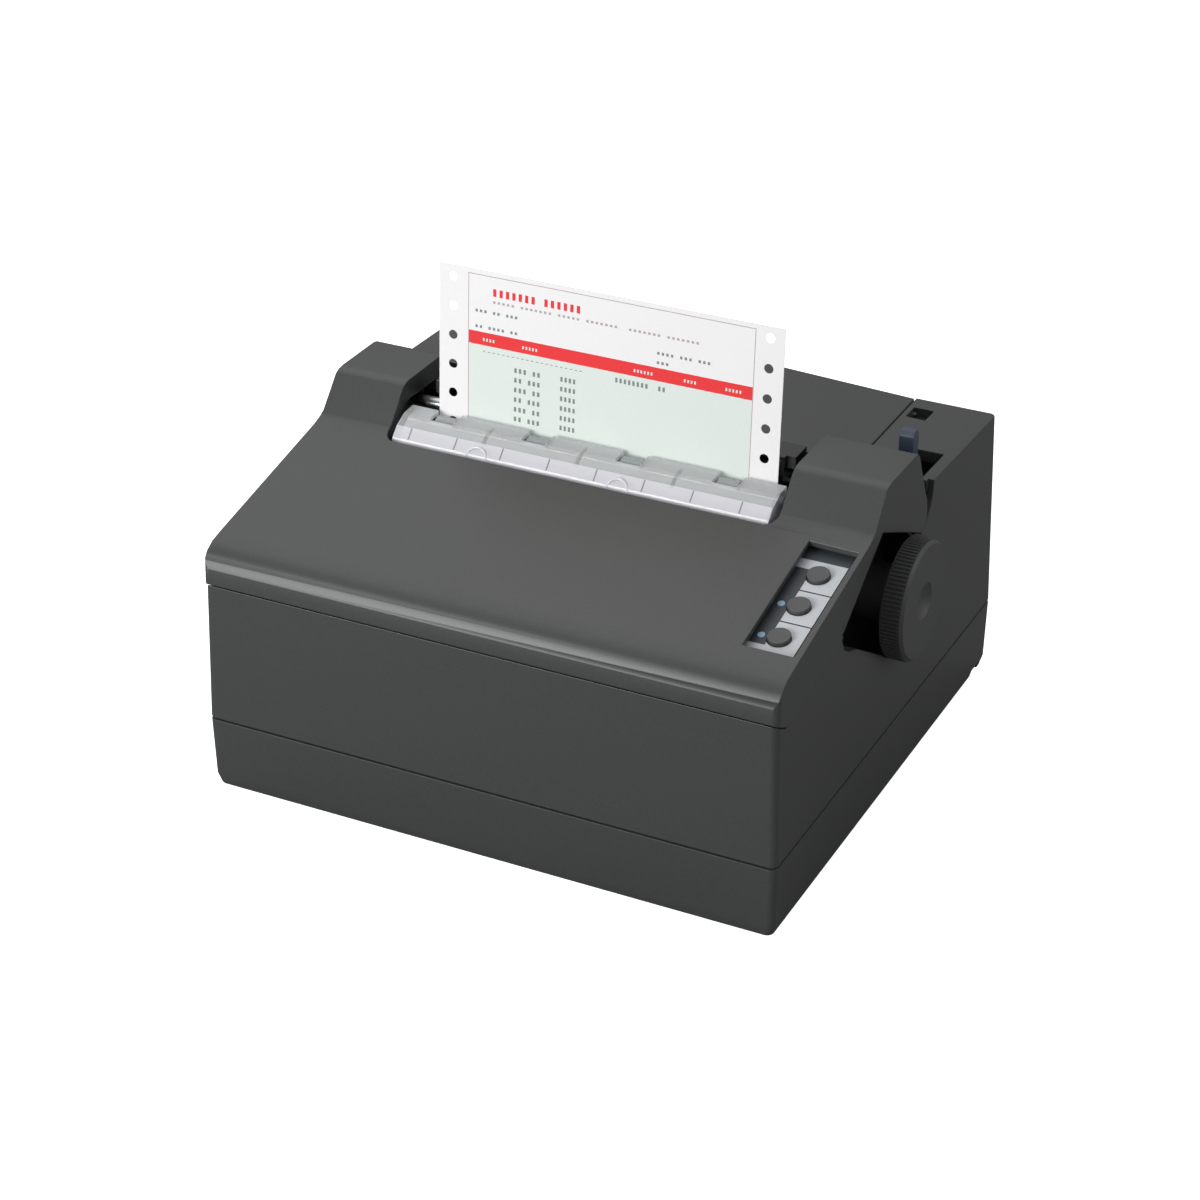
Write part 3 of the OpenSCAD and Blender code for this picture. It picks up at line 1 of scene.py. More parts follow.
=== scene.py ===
# %% [markdown]
# # Dressing a dot matrix printer
# The solids of the printer come from its CAD source and are already in their real places. This lesson
# gives them the look of the real thing: first the camera, the floor and the lights, then one material
# after another, and last the pieces whose shape needs more than the solids have.
#
# Everything is in metres, in the frame of the solids. The sizes below are written in millimetres, counted
# as a maker would measure the printer: x from its middle, y from its front face, z from its underside.

# %% The frame and its box
import math

import bpy
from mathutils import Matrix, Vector


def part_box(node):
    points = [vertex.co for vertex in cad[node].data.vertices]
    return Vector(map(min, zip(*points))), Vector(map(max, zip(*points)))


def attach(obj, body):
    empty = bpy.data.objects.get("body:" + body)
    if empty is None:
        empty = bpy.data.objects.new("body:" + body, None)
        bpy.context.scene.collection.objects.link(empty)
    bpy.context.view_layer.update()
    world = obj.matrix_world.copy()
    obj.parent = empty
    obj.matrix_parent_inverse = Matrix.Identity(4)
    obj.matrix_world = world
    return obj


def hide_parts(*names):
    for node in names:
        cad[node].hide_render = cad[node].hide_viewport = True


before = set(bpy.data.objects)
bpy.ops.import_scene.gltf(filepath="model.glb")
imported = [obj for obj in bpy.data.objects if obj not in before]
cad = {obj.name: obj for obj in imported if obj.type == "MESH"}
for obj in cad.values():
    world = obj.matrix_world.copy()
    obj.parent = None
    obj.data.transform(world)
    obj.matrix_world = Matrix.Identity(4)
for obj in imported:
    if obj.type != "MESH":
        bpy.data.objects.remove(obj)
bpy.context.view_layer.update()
MM = 0.001
FRAME_ORIGIN = (4.5, 118.25, -1.5)  # where the frame's own zero lies, in the printer's millimetres
print("solids in the frame:", len(cad))


def at(x, y, z):
    """A place on the printer in mm, as metres in the frame."""
    return Vector((x - FRAME_ORIGIN[0], y - FRAME_ORIGIN[1], z - FRAME_ORIGIN[2])) * MM


def x_of(place):
    """How far to the right of the printer's middle a place in the frame is, in mm."""
    return place.x / MM + FRAME_ORIGIN[0]


# %% [markdown]
# ## Camera
# A product photograph of this kind is taken from well above the desk with a long lens, so that the sides
# hardly converge. The lens, the height and the turn were worked out from the straight edges of the case.

# %% Camera
LENS_MM, DISTANCE = 89.72, 1.24555
AIM = at(-2.06, 109.85, 62.59)
ELEVATION, AZIMUTH = math.radians(29.04), math.radians(26.32)
camera_data = bpy.data.cameras.new("studio_camera")
camera = bpy.data.objects.new("studio_camera", camera_data)
bpy.context.scene.collection.objects.link(camera)
bpy.context.scene.camera = camera
camera_data.sensor_width = 36
camera_data.lens = LENS_MM
camera_data.clip_end = 50
level_part = math.cos(ELEVATION)
away = Vector((math.sin(AZIMUTH) * level_part, -math.cos(AZIMUTH) * level_part, math.sin(ELEVATION)))
camera.location = AIM + away * DISTANCE
camera.rotation_euler = (math.pi / 2 - ELEVATION, 0, AZIMUTH)
print("camera stands at", [round(v, 3) for v in camera.location])

# %% [markdown]
# ## Colour and node helpers
# Colours are read off a picture as sRGB, while a shader works in linear light. One function turns the
# first into the second. Another adds a node with its settings and its links, so that each material below
# reads as a list of what it is made of. The rest are the few patterns that the materials share.


# %% Colour and node helpers
def colour(code):
    """An sRGB hex code as linear red, green, blue and alpha."""
    parts = [int(code[i : i + 2], 16) / 255 for i in (1, 3, 5)]
    return [c / 12.92 if c <= 0.04045 else ((c + 0.055) / 1.055) ** 2.4 for c in parts] + [1.0]


def add_node(owner, kind, settings=None, links=None):
    """Adds a node to a material or the world. Settings go to a property or an input socket, and links
    lead to an input from a (node, output)."""
    node = owner.node_tree.nodes.new(kind)
    for name, value in (settings or {}).items():
        if isinstance(name, str) and hasattr(node, name):
            setattr(node, name, value)
        else:
            node.inputs[name].default_value = value
    for name, (other, output) in (links or {}).items():
        plug(other, output, node, name)
    return node


def plug(node, output, into, socket):
    """Leads one node's output to a socket of another."""
    into.id_data.links.new(node.outputs[output], into.inputs[socket])


def drawn_on(material, kind, settings):
    """A texture laid on the object's own coordinates, so that its scale is in real metres."""
    where = add_node(material, "ShaderNodeTexCoord")
    return add_node(material, kind, settings, {"Vector": (where, "Object")})


def finish_of(name, base, roughness, **numbers):
    """A material with its plain numbers on the shader's own sockets, and its shader."""
    material = bpy.data.materials.new(name)
    material.use_nodes = True
    shader = material.node_tree.nodes["Principled BSDF"]
    shader.inputs["Base Color"].default_value = colour(base)
    shader.inputs["Roughness"].default_value = roughness
    for socket, value in numbers.items():
        shader.inputs[socket.replace("_", " ")].default_value = value
    material.diffuse_color = colour(base)
    return material, shader


def grain_bump(material, shader, size_mm, height_mm, detail=2.0, stretch=(1, 1, 1)):
    """A fine uneven surface: grains of that size, standing that high."""
    where = add_node(material, "ShaderNodeTexCoord")
    mapped = add_node(material, "ShaderNodeMapping", {"Scale": stretch}, {"Vector": (where, "Object")})
    size = {"Scale": 1 / (size_mm * MM), "Detail": detail}
    grain = add_node(material, "ShaderNodeTexNoise", size, {"Vector": (mapped, "Vector")})
    stand_out(material, shader, grain, height_mm)
    return grain


def stand_out(material, shader, pattern, height_mm):
    """Lets a pattern stand out of the surface by that height."""
    settings = {"Distance": height_mm * MM, "Strength": 1.0}
    bump = add_node(material, "ShaderNodeBump", settings, {"Height": (pattern, "Fac")})
    plug(bump, "Normal", shader, "Normal")


def ridges(material, shader, pitch_mm, direction, height_mm):
    """Even ridges across the object. The wave texture has ten of them to pi units."""
    settings = {"Scale": math.pi / 10 / (pitch_mm * MM), "bands_direction": direction}
    stand_out(material, shader, drawn_on(material, "ShaderNodeTexWave", settings), height_mm)


def grained(name, base, roughness, grain, detail=2.0, stretch=(1, 1, 1), **numbers):
    """A material with a fine uneven surface and nothing more. The grain is its size and height in mm."""
    material, shader = finish_of(name, base, roughness, **numbers)
    grain_bump(material, shader, *grain, detail=detail, stretch=stretch)
    return material


def tint_between(material, shader, grain, first, second, low=0.35, high=0.65):
    """Lets the base colour wander between two tints with the grain."""
    ramp = add_node(material, "ShaderNodeValToRGB", links={"Fac": (grain, "Fac")})
    dark_end, light_end = ramp.color_ramp.elements
    dark_end.position, light_end.position = low, high
    dark_end.color, light_end.color = colour(first), colour(second)
    plug(ramp, "Color", shader, "Base Color")


def seen_directly(owner):
    """1 for what the camera sees, itself or through clear plastic, and 0 for light on its way elsewhere."""
    rays = add_node(owner, "ShaderNodeLightPath")
    either = {0: (rays, "Is Camera Ray"), 1: (rays, "Is Transmission Ray")}
    return add_node(owner, "ShaderNodeMath", {"operation": "MAXIMUM"}, either)


# %% [markdown]
# ## Floor and lights
# The printer stands on a white sweep in a dark studio. The camera sees the card as white, with only the
# soft shadow under the printer. The printer itself sees a darker card and a dim room, as it would between
# black flags, so that its dark sides stay dark.

# %% Floor
CARD_WIDE, CARD_GLOW = 9, 0.9
bpy.ops.object.select_all(action="DESELECT")
bpy.ops.mesh.primitive_plane_add(size=CARD_WIDE)
floor = bpy.context.object
floor.name = "floor"
card, card_shader = finish_of("white_card", "#f2f2f2", 0.95, Specular_IOR_Level=0.0)
seen = seen_directly(card)
own = add_node(card, "ShaderNodeMath", {"operation": "MULTIPLY", 1: CARD_GLOW}, {0: (seen, "Value")})
card_shader.inputs["Emission Color"].default_value = (1, 1, 1, 1)
plug(own, "Value", card_shader, "Emission Strength")
tone = add_node(card, "ShaderNodeMix", {"data_type": "RGBA"}, {0: (seen, "Value")})
tone.inputs[6].default_value, tone.inputs[7].default_value = colour("#8c8c8c"), colour("#f2f2f2")
plug(tone, 2, card_shader, "Base Color")
floor.data.materials.append(card)

# %% World
ROOM_LIGHT = 0.4
world = bpy.data.worlds.new("studio")
bpy.context.scene.world = world
world.use_nodes = True
sky = world.node_tree.nodes["Background"]
sky.inputs["Color"].default_value = (1, 1, 1, 1)
strengths = {"To Min": ROOM_LIGHT, "To Max": 1.0}
level = add_node(world, "ShaderNodeMapRange", strengths, {"Value": (seen_directly(world), "Value")})
plug(level, "Result", sky, "Strength")


# %% Lamps
def soft_lamp(name, place, look_at, size, watts):
    """A large square lamp, which gives a shadow with a soft edge."""
    data = bpy.data.lights.new(name, "AREA")
    data.shape, data.size, data.energy = "SQUARE", size, watts
    lamp = bpy.data.objects.new(name, data)
    bpy.context.scene.collection.objects.link(lamp)
    lamp.location = place
    lamp.rotation_euler = (Vector(look_at) - Vector(place)).to_track_quat("-Z", "Y").to_euler()


soft_lamp("rear_overhead_softbox", (-0.5, 0.4, 1.3), (0, 0, 0.1), 1.5, 6.9)
soft_lamp("front_left_softbox", (-0.6, -1.36, 0.55), (0, 0, 0.06), 0.75, 19)
soft_lamp("right_fill", (1.25, 0.5, 0.45), (0, 0, 0.06), 0.9, 3.4)
bpy.context.scene.view_settings.view_transform = "Standard"

# %% [markdown]
# ## Case: moulded ABS
# The shells are injection-moulded ABS, coloured through in a dark neutral grey. The mould is spark-eroded,
# which leaves an even matt grain that hides sink marks and fingerprints. The real grain is about 0.1 mm,
# too fine to show here, so it is drawn at about 0.8 mm and very shallow.

# %% Moulded ABS
abs_grey, shader = finish_of("spark_eroded_abs", "#3a3c3b", 0.4, IOR=1.54)
grain = grain_bump(abs_grey, shader, 0.8, 0.012, detail=3)
tint_between(abs_grey, shader, grain, "#383a39", "#3c3e3d")
abs_black = grained("black_moulded_abs", "#0f1011", 0.4, (0.7, 0.01), IOR=1.54)
knob_grey = grained("knob_abs", "#404141", 0.5, (0.8, 0.012), IOR=1.54)
lever_blue = grained("lever_blue_grey_abs", "#3c4759", 0.45, (0.8, 0.012), IOR=1.54)
key_grey = grained("key_abs", "#4b4c4c", 0.5, (0.6, 0.01), IOR=1.54)

# %% [markdown]
# ## Clear cover: polycarbonate
# The tear-off cover is clear polycarbonate, 1.8 mm thick. Its many walls and ribs send light about, so it
# looks milky and pale rather than invisible. Alpha lets the parts behind show, a pale base colour gives
# the milkiness, and a smooth surface gives the hard white glints. Its flat top is seen through one wall
# only, so it is clearer than the front, where several walls and ribs lie behind each other.

# %% Clear polycarbonate
polycarbonate = grained("clear_polycarbonate", "#e6e6ec", 0.16, (6.0, 0.05), IOR=1.58, Alpha=0.66)
polycarbonate_top = grained("clear_polycarbonate_top", "#c6ccc8", 0.1, (6.0, 0.03), IOR=1.58, Alpha=0.42)
# painted shade: an opaque grey stands in for the dark line that a clear rib's edge shows
rib_painted_shade = grained("painted_rib_edge_shade", "#8b8b92", 0.2, (2.0, 0.02), IOR=1.58)

# %% [markdown]
# ## Metals
# The shafts are ground steel, bright and turned, so their scratches run round them. The frame plates are
# galvanised sheet, which shows a pattern of zinc crystals some millimetres wide. The pinion is brass.

# %% Metals
ground_steel = grained("ground_steel", "#c9cacb", 0.24, (0.5, 0.006), stretch=(6, 1, 1), Metallic=1.0)
galvanised, shader = finish_of("galvanised_sheet", "#b4b7b9", 0.42, Metallic=1.0)
crystals = drawn_on(galvanised, "ShaderNodeTexVoronoi", {"Scale": 1 / (5 * MM)})
dullness = {"To Min": 0.3, "To Max": 0.5}
dull = add_node(galvanised, "ShaderNodeMapRange", dullness, {"Value": (crystals, "Distance")})
plug(dull, "Result", shader, "Roughness")
tint = add_node(galvanised, "ShaderNodeValToRGB", links={"Fac": (crystals, "Color")})
tint.color_ramp.elements[0].color, tint.color_ramp.elements[1].color = colour("#a6a9ac"), colour("#c4c7c9")
plug(tint, "Color", shader, "Base Color")
tinned = grained("tinned_sheet", "#c3c4c2", 0.3, (2.5, 0.02), Metallic=1.0)
brass = grained("cut_brass", "#d3a85b", 0.28, (0.4, 0.006), Metallic=1.0)
motor_black = grained("black_enamelled_steel", "#1d1e20", 0.36, (1.2, 0.01))

# %% [markdown]
# ## Rubber and engineering plastics
# The platen is ground rubber, nearly black and quite matt. The belt is moulded rubber with a tooth every
# 2 mm. The tension rollers are smoky clear acrylic. The gears and pulleys are white acetal, which is a
# little waxy, so it gets a trace of subsurface light. The carriage is nylon filled with glass fibre, whose
# fibres show as a faint fleck.

# %% Rubber and engineering plastics
rubber = grained("ground_rubber", "#1b1b1c", 0.78, (0.6, 0.03), detail=4)
belt_rubber, shader = finish_of("moulded_belt_rubber", "#141415", 0.6)
ridges(belt_rubber, shader, 2, "X", 0.4)
roller_clear = grained("smoky_clear_acrylic", "#9a9fa0", 0.12, (1.5, 0.006), IOR=1.49)
acetal, shader = finish_of("white_acetal", "#e6e5df", 0.38, IOR=1.48, Subsurface_Weight=0.08)
shader.inputs["Subsurface Radius"].default_value = (0.002, 0.0018, 0.0015)
grain_bump(acetal, shader, 1.5, 0.008)
nylon, shader = finish_of("glass_filled_nylon", "#1f2021", 0.5)
fleck = grain_bump(nylon, shader, 0.7, 0.015, detail=5)
tint_between(nylon, shader, fleck, "#1b1c1d", "#2b2c2e", 0.4, 0.75)

# %% [markdown]
# ## Boards, cable and ribbon
# A circuit board is glass laminate under green solder mask, and its copper tracks show as slightly lighter
# lines. The head's flat cable is white with a ridge every 2 mm. The ribbon is woven nylon soaked with ink.

# %% Boards, cable and ribbon
mask_green, shader = finish_of("green_solder_mask", "#14502f", 0.3, Coat_Weight=0.3)
mask_tints = {"Color1": colour("#134a2c"), "Color2": colour("#17562f"), "Mortar": colour("#2b7a48")}
track_size = {"Scale": 1 / (12 * MM), "Mortar Size": 0.03}
tracks = drawn_on(mask_green, "ShaderNodeTexBrick", {**track_size, **mask_tints})
plug(tracks, "Color", shader, "Base Color")
flat_cable, shader = finish_of("white_cable_film", "#dcdbd6", 0.4)
ridges(flat_cable, shader, 2, "Y", 0.15)
inked_nylon = grained("inked_nylon_weave", "#0e0e12", 0.85, (0.5, 0.04), Sheen_Weight=0.2)

# %% [markdown]
# ## Paper
# The form is uncoated paper: matt, very slightly warm, with a soft fibre mottle. Its fields are printed
# before the form is cut, so they are flat tints on the same paper. They are materials of their own, given
# to the faces inside each field.


# %% Paper
def paper_ink(name, base, other):
    """Paper, bare or printed: two close tints that wander with its fibres."""
    material, shader = finish_of(name, base, 0.85)
    fibres = grain_bump(material, shader, 0.7, 0.012, detail=6)
    tint_between(material, shader, fibres, base, other, 0.3, 0.7)
    return material


bare_paper = paper_ink("uncoated_paper", "#f3f2f3", "#f0eff0")
pale_green = paper_ink("paper_printed_pale_green", "#e2eae5", "#dfe7e1")
red_ink = paper_ink("paper_printed_red", "#ef3a3e", "#ea363a")
rule_ink = paper_ink("paper_printed_grey_rule", "#b9a9ad", "#b3a4a8")
impact_ink = paper_ink("paper_impact_print", "#8a918e", "#7e8582")

# %% [markdown]
# ## Panel and lamps
# The control panel carries a printed film: a pale grey field beside each key, a slate column on the left
# for the two lamps, and a slate band behind. The lamps are clear lenses lit from below.

# %% Panel and lamps
film_pale = grained("printed_film_pale", "#c8ccd0", 0.5, (0.7, 0.006))
film_slate = grained("printed_film_slate", "#3b4045", 0.5, (0.7, 0.006))
film_rule = grained("printed_film_rule", "#282a2e", 0.5, (0.7, 0.006))
lamp_lens, shader = finish_of("lit_lamp_lens", "#7f9bb2", 0.25, Emission_Strength=0.1)
shader.inputs["Emission Color"].default_value = colour("#a9dcf8")
grain_bump(lamp_lens, shader, 0.8, 0.01)

# %% [markdown]
# ## Every solid gets its finish
# The solids that already have the right shape keep it, and only their material changes. The list says
# which finish each one has.

# %% Finishes of the solids
FINISHES = {
    abs_grey: "base_case upper_case front_cover rear_cover",
    polycarbonate: "tear_off_cover",
    ground_steel: "tension_roller_axle cover_hinge_pins rear_cover_pins platen_shaft tractor_shaft "
    "tractor_rod guide_shaft case_screws",
    galvanised: "side_plate_left side_plate_right chassis carriage_rail",
    rubber: "platen_roller rubber_feet",
    belt_rubber: "timing_belt",
    roller_clear: "tension_rollers",
    acetal: "platen_gear feed_idler_gear tractor_idler_gear tractor_gear drive_pulley idler_pulley "
    "ribbon_knob serial_port",
    brass: "feed_pinion",
    motor_black: "feed_motor carriage_motor print_head",
    abs_black: "tractor_unit_left tractor_unit_right tractor_lid_left tractor_lid_right sprocket_wheels "
    "ribbon_cartridge paper_guide mains_inlet switch_frame power_switch",
    nylon: "carriage",
    mask_green: "panel_board main_board",
    flat_cable: "head_cable",
    inked_nylon: "ink_ribbon",
    bare_paper: "paper_form",
    film_pale: "control_panel",
    key_grey: "button_front button_middle button_rear",
    lamp_lens: "panel_leds",
    lever_blue: "release_lever",
    knob_grey: "paper_feed_knob",
    tinned: "power_supply data_port",
}
for material, names in FINISHES.items():
    for name in names.split():
        cad[name].data.materials.clear()
        cad[name].data.materials.append(material)
print("solids with a finish:", sum(len(n.split()) for n in FINISHES.values()), "of", len(cad))

# %% [markdown]
# ## Helpers for pieces
# An operator works on whatever is selected, so one helper selects a single piece. Another makes a twin of
# a solid: its mesh is loose triangles, so its doubles are merged and its flat faces made whole, and then
# it can be bevelled as a modelled piece can. The others round edges, put a piece on its body, and cut a
# mesh along planes.

# %% Helpers for pieces
SAME_POINT_MM = 0.004
SAME_PLANE = math.radians(0.4)
SMOOTH_BELOW = math.radians(35)
ROOM_FOR_BEVEL = 1.3  # a neighbour edge has to be this many bevels long
FACING = 0.9  # the cosine above which a face looks in a direction


def only(piece):
    """Selects that piece alone and makes it the active one."""
    bpy.ops.object.select_all(action="DESELECT")
    piece.select_set(True)
    bpy.context.view_layer.objects.active = piece
    return piece


def twin_of(node, name, whole=True):
    """A modelled twin of a solid, with whole faces, or with its triangles left as they are."""
    twin = bpy.data.objects.new(name, cad[node].data.copy())
    bpy.context.scene.collection.objects.link(twin)
    only(twin)
    bpy.ops.mesh.customdata_custom_splitnormals_clear()
    bpy.ops.object.mode_set(mode="EDIT")
    bpy.ops.mesh.select_all(action="SELECT")
    bpy.ops.mesh.remove_doubles(threshold=SAME_POINT_MM * MM)
    if whole:
        bpy.ops.mesh.dissolve_limited(angle_limit=SAME_PLANE)
        bpy.ops.mesh.select_all(action="SELECT")
        bpy.ops.mesh.vert_connect_concave()
    bpy.ops.object.mode_set(mode="OBJECT")
    return twin


def soften(piece, width_mm, sharper_than=28, segments=2):
    """Rounds a piece's sharp edges by a small bevel and shades it smooth. An edge with a very short
    neighbour keeps its corner, as the bevel would run past that neighbour."""
    mesh = piece.data
    shortest = {}
    for edge in mesh.edges:
        a, b = (mesh.vertices[v].co for v in edge.vertices)
        for v in edge.vertices:
            shortest[v] = min(shortest.get(v, 1.0), (a - b).length)
    normals = {}
    for face in mesh.polygons:
        for key in face.edge_keys:
            normals.setdefault(key, []).append(face.normal)
    weights = mesh.attributes.new("bevel_weight_edge", "FLOAT", "EDGE")
    for edge in mesh.edges:
        sides = normals.get(edge.key, [])
        sharp = len(sides) == 2 and sides[0].angle(sides[1], 0) > math.radians(sharper_than)
        roomy = min(shortest[v] for v in edge.vertices) > ROOM_FOR_BEVEL * width_mm * MM
        weights.data[edge.index].value = 1.0 if sharp and roomy else 0.0
    only(piece)
    bevel = piece.modifiers.new("soft_edges", "BEVEL")
    bevel.width = width_mm * MM
    bevel.segments = segments
    bevel.limit_method = "WEIGHT"
    bevel.use_clamp_overlap = False
    bpy.ops.object.modifier_apply(modifier=bevel.name)
    bpy.ops.object.shade_smooth_by_angle(angle=SMOOTH_BELOW)
    flats = piece.modifiers.new("flat_faces_stay_flat", "WEIGHTED_NORMAL")
    flats.keep_sharp = True
    bpy.ops.object.modifier_apply(modifier=flats.name)
    return piece


def settle(piece, body, slot, *instead_of):
    """The piece rides on that body and stands for those solids. The slot is not used."""
    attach(piece, body)
    if instead_of:
        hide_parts(*instead_of)
    return piece


def cut_at(piece, places, direction):
    """Cuts the whole mesh along planes through those places, all facing one way."""
    only(piece)
    bpy.ops.object.mode_set(mode="EDIT")
    for place in places:
        bpy.ops.mesh.select_all(action="SELECT")
        bpy.ops.mesh.bisect(plane_co=place, plane_no=direction)
    bpy.ops.object.mode_set(mode="OBJECT")


# %% [markdown]
# ## The form
# The form is one sheet with punched margins. It hugs the platen, then leans back by 3 degrees. Its printed
# fields are cut into the mesh, so that their edges are crisp at any size: a white heading, a red band, a
# pale green table, and a thin rule that is also the tear line of the margins.

# %% The form
LEAN = math.radians(3)
PLATEN = (124.3, 88.6)  # y and z of the platen's axis
SHEET_FRONT = -16.85  # from that axis to the sheet's printed face
UP_THE_SHEET = Vector((0, math.sin(LEAN), math.cos(LEAN)))
OUT_OF_THE_SHEET = Vector((0, -math.cos(LEAN), math.sin(LEAN)))


def on_sheet(x, up, proud=0.0):
    """A place on the leaning sheet: x across, up along the sheet from the platen's middle."""
    out = SHEET_FRONT - proud
    y = PLATEN[0] + out * math.cos(LEAN) + up * math.sin(LEAN)
    return at(x, y, PLATEN[1] - out * math.sin(LEAN) + up * math.cos(LEAN))


RULE_LEFT, RULE_RIGHT, RULE_TOP, RULE_WIDE = -62.9, 63.9, 108.0, 0.35
BAND_LOW, BAND_HIGH, TABLE_LOW = 77.8, 83.4, 22.0
BARE, GREEN, RED, THIN_RULE = range(4)
form = twin_of("paper_form", "printed_form")
heights = (TABLE_LOW, BAND_LOW, BAND_HIGH, RULE_TOP - RULE_WIDE, RULE_TOP)
cut_at(form, [on_sheet(0, up) for up in heights], UP_THE_SHEET)
sides = (RULE_LEFT, RULE_LEFT + RULE_WIDE, RULE_RIGHT - RULE_WIDE, RULE_RIGHT)
cut_at(form, [on_sheet(x, 60) for x in sides], (1, 0, 0))
form.data.materials.clear()
for ink in (bare_paper, pale_green, red_ink, rule_ink):
    form.data.materials.append(ink)


def field_of(face):
    """Which ink a face of the form carries."""
    if face.normal.dot(OUT_OF_THE_SHEET) < FACING:
        return BARE
    x = x_of(face.center)
    up = (face.center - on_sheet(0, 0)).dot(UP_THE_SHEET) / MM
    if up < TABLE_LOW or up > RULE_TOP or x < RULE_LEFT or x > RULE_RIGHT:
        return BARE
    if x < RULE_LEFT + RULE_WIDE or x > RULE_RIGHT - RULE_WIDE or up > RULE_TOP - RULE_WIDE:
        return THIN_RULE
    return GREEN if up < BAND_LOW else RED if up < BAND_HIGH else BARE


for face in form.data.polygons:
    face.material_index = field_of(face)
settle(form, "case", "paper", "paper_form")
print("faces of the form:", len(form.data.polygons))

# %% [markdown]
# ## Rows of print
# From this far a printed row is only a line of small marks. Each row is a thin strip of cells with every
# second one taken out, a little proud of the paper, and it says nothing: no letters are drawn.


# %% Rows of print
INK_PROUD = 0.06


def print_row(name, x, up, cells, wide, tall, ink, skip=()):
    """A row of marks from x to the right, at that height up the sheet. Marks numbered in skip stay out."""
    bpy.ops.object.select_all(action="DESELECT")
    bpy.ops.mesh.primitive_grid_add(x_subdivisions=2 * cells, y_subdivisions=1, size=1)
    row = bpy.context.object
    row.name = name
    for v in row.data.vertices:
        v.co = on_sheet(x + (v.co.x + 0.5) * 2 * cells * wide, up + (v.co.y + 0.5) * tall, INK_PROUD)
    only(row)
    bpy.ops.object.mode_set(mode="EDIT")
    bpy.ops.mesh.select_mode(type="FACE")
    bpy.ops.mesh.select_all(action="DESELECT")
    bpy.ops.object.mode_set(mode="OBJECT")
    for face in row.data.polygons:
        cell = int((x_of(face.center) - x) / wide)
        face.select = cell % 2 == 1 or cell // 2 in skip
    bpy.ops.object.mode_set(mode="EDIT")
    bpy.ops.mesh.delete(type="FACE")
    bpy.ops.object.mode_set(mode="OBJECT")
    row.data.materials.append(ink)
    return settle(row, "case", "paper")


LINE_PITCH = 4.25
rows = []
for i in range(6):
    down = LINE_PITCH * i
    gap = (2,) if i % 2 else (3,)
    rows.append((f"table_row_{i}_left", -41.5, 68.6 - down, 6, 1.05, 2.0, impact_ink, gap))
    rows.append((f"table_row_{i}_right", -20.5, 69.0 - down, 4, 0.95, 2.0, impact_ink))
rows += [
    ("table_row_far", 4.0, 73.6, 12, 0.95, 2.0, impact_ink, (8, 9)),
    ("table_dash_row", -56.0, 75.0, 21, 1.1, 0.3, impact_ink),
    ("heading_row", -51.5, 99.6, 14, 1.45, 3.2, red_ink, (7,)),
    ("small_row_0", -51.5, 96.6, 44, 1.05, 1.0, rule_ink, (5, 13, 19, 27, 28, 36)),
    ("small_row_1", -59.5, 91.8, 10, 1.0, 1.2, impact_ink, (3, 6)),
    ("small_row_2", -59.5, 85.0, 10, 1.0, 1.2, impact_ink, (2, 7)),
    ("small_row_3", 22.0, 89.0, 12, 1.0, 1.2, impact_ink, (4, 8)),
    ("small_row_4", 22.0, 85.0, 3, 1.0, 1.2, impact_ink),
]
for k, x in enumerate((-56, -38, 12, 34, 52)):
    rows.append((f"band_mark_{k}", x, 79.6, 4 + k % 3, 0.75, 1.3, pale_green))
for row in rows:
    print_row(*row)
print("rows of print:", len(rows))

# %% [markdown]
# ## Shells with soft edges
# A moulded shell never has a knife edge: its corners carry a radius of some tenths of a millimetre, and
# that is what catches the light along every seam. Each shell is a twin of its solid with bevelled edges.

# %% Shells with soft edges
SHELL_EDGE = 0.45
SHELLS = {"base_case": "case", "upper_case": "case", "front_cover": "front_cover", "rear_cover": "rear_cover"}
for node, body in SHELLS.items():
    shell = soften(twin_of(node, node + "_shell"), SHELL_EDGE)
    settle(shell, body, "shell", node)
    print(shell.name, len(shell.data.polygons), "faces")

# %% [markdown]
# ## Clear cover
# The cover is a twin of its solid with soft edges. Its faces that look up get the clearer plastic. Beside
# every roller a rib stands under the sloping edge, and its end is drawn as a short grey strip: painted
# shade for the dark line that a clear rib's edge shows. Two half-round collars stand on the front.

# %% Clear cover
ROLLERS = (-70, -27.5, 15, 57.5)
RIB_FROM_ROLLER, RIB_WIDE, RIB_PROUD = 10.6, 0.55, 0.04
EDGE_LOW, EDGE_HIGH = (90.6, 128.1), (94.4, 131.7)  # y and z along the sloping edge
COLLAR_R, COLLAR_THICK, COLLAR_TILT = 4.6, 0.6, math.radians(60)
LOOKS_UP = 0.85
cover = soften(twin_of("tear_off_cover", "clear_cover"), 0.4)
cover.data.materials.clear()
for plastic in (polycarbonate, polycarbonate_top):
    cover.data.materials.append(plastic)
for face in cover.data.polygons:
    face.material_index = 1 if face.normal.z > LOOKS_UP else 0
settle(cover, "case", "clear_cover", "tear_off_cover")


def rib_end(name, x):
    """A rib's end under the cover's sloping edge: a narrow strip, a little proud of it, in painted shade."""
    bpy.ops.object.select_all(action="DESELECT")
    bpy.ops.mesh.primitive_grid_add(x_subdivisions=1, y_subdivisions=4, size=1)
    strip = bpy.context.object
    strip.name = name
    for v in strip.data.vertices:
        t = v.co.y + 0.5
        y = EDGE_LOW[0] + (EDGE_HIGH[0] - EDGE_LOW[0]) * t - RIB_PROUD
        z = EDGE_LOW[1] + (EDGE_HIGH[1] - EDGE_LOW[1]) * t + RIB_PROUD
        v.co = at(x + v.co.x * RIB_WIDE, y, z)
    strip.data.materials.append(rib_painted_shade)
    return settle(strip, "case", "clear_cover")


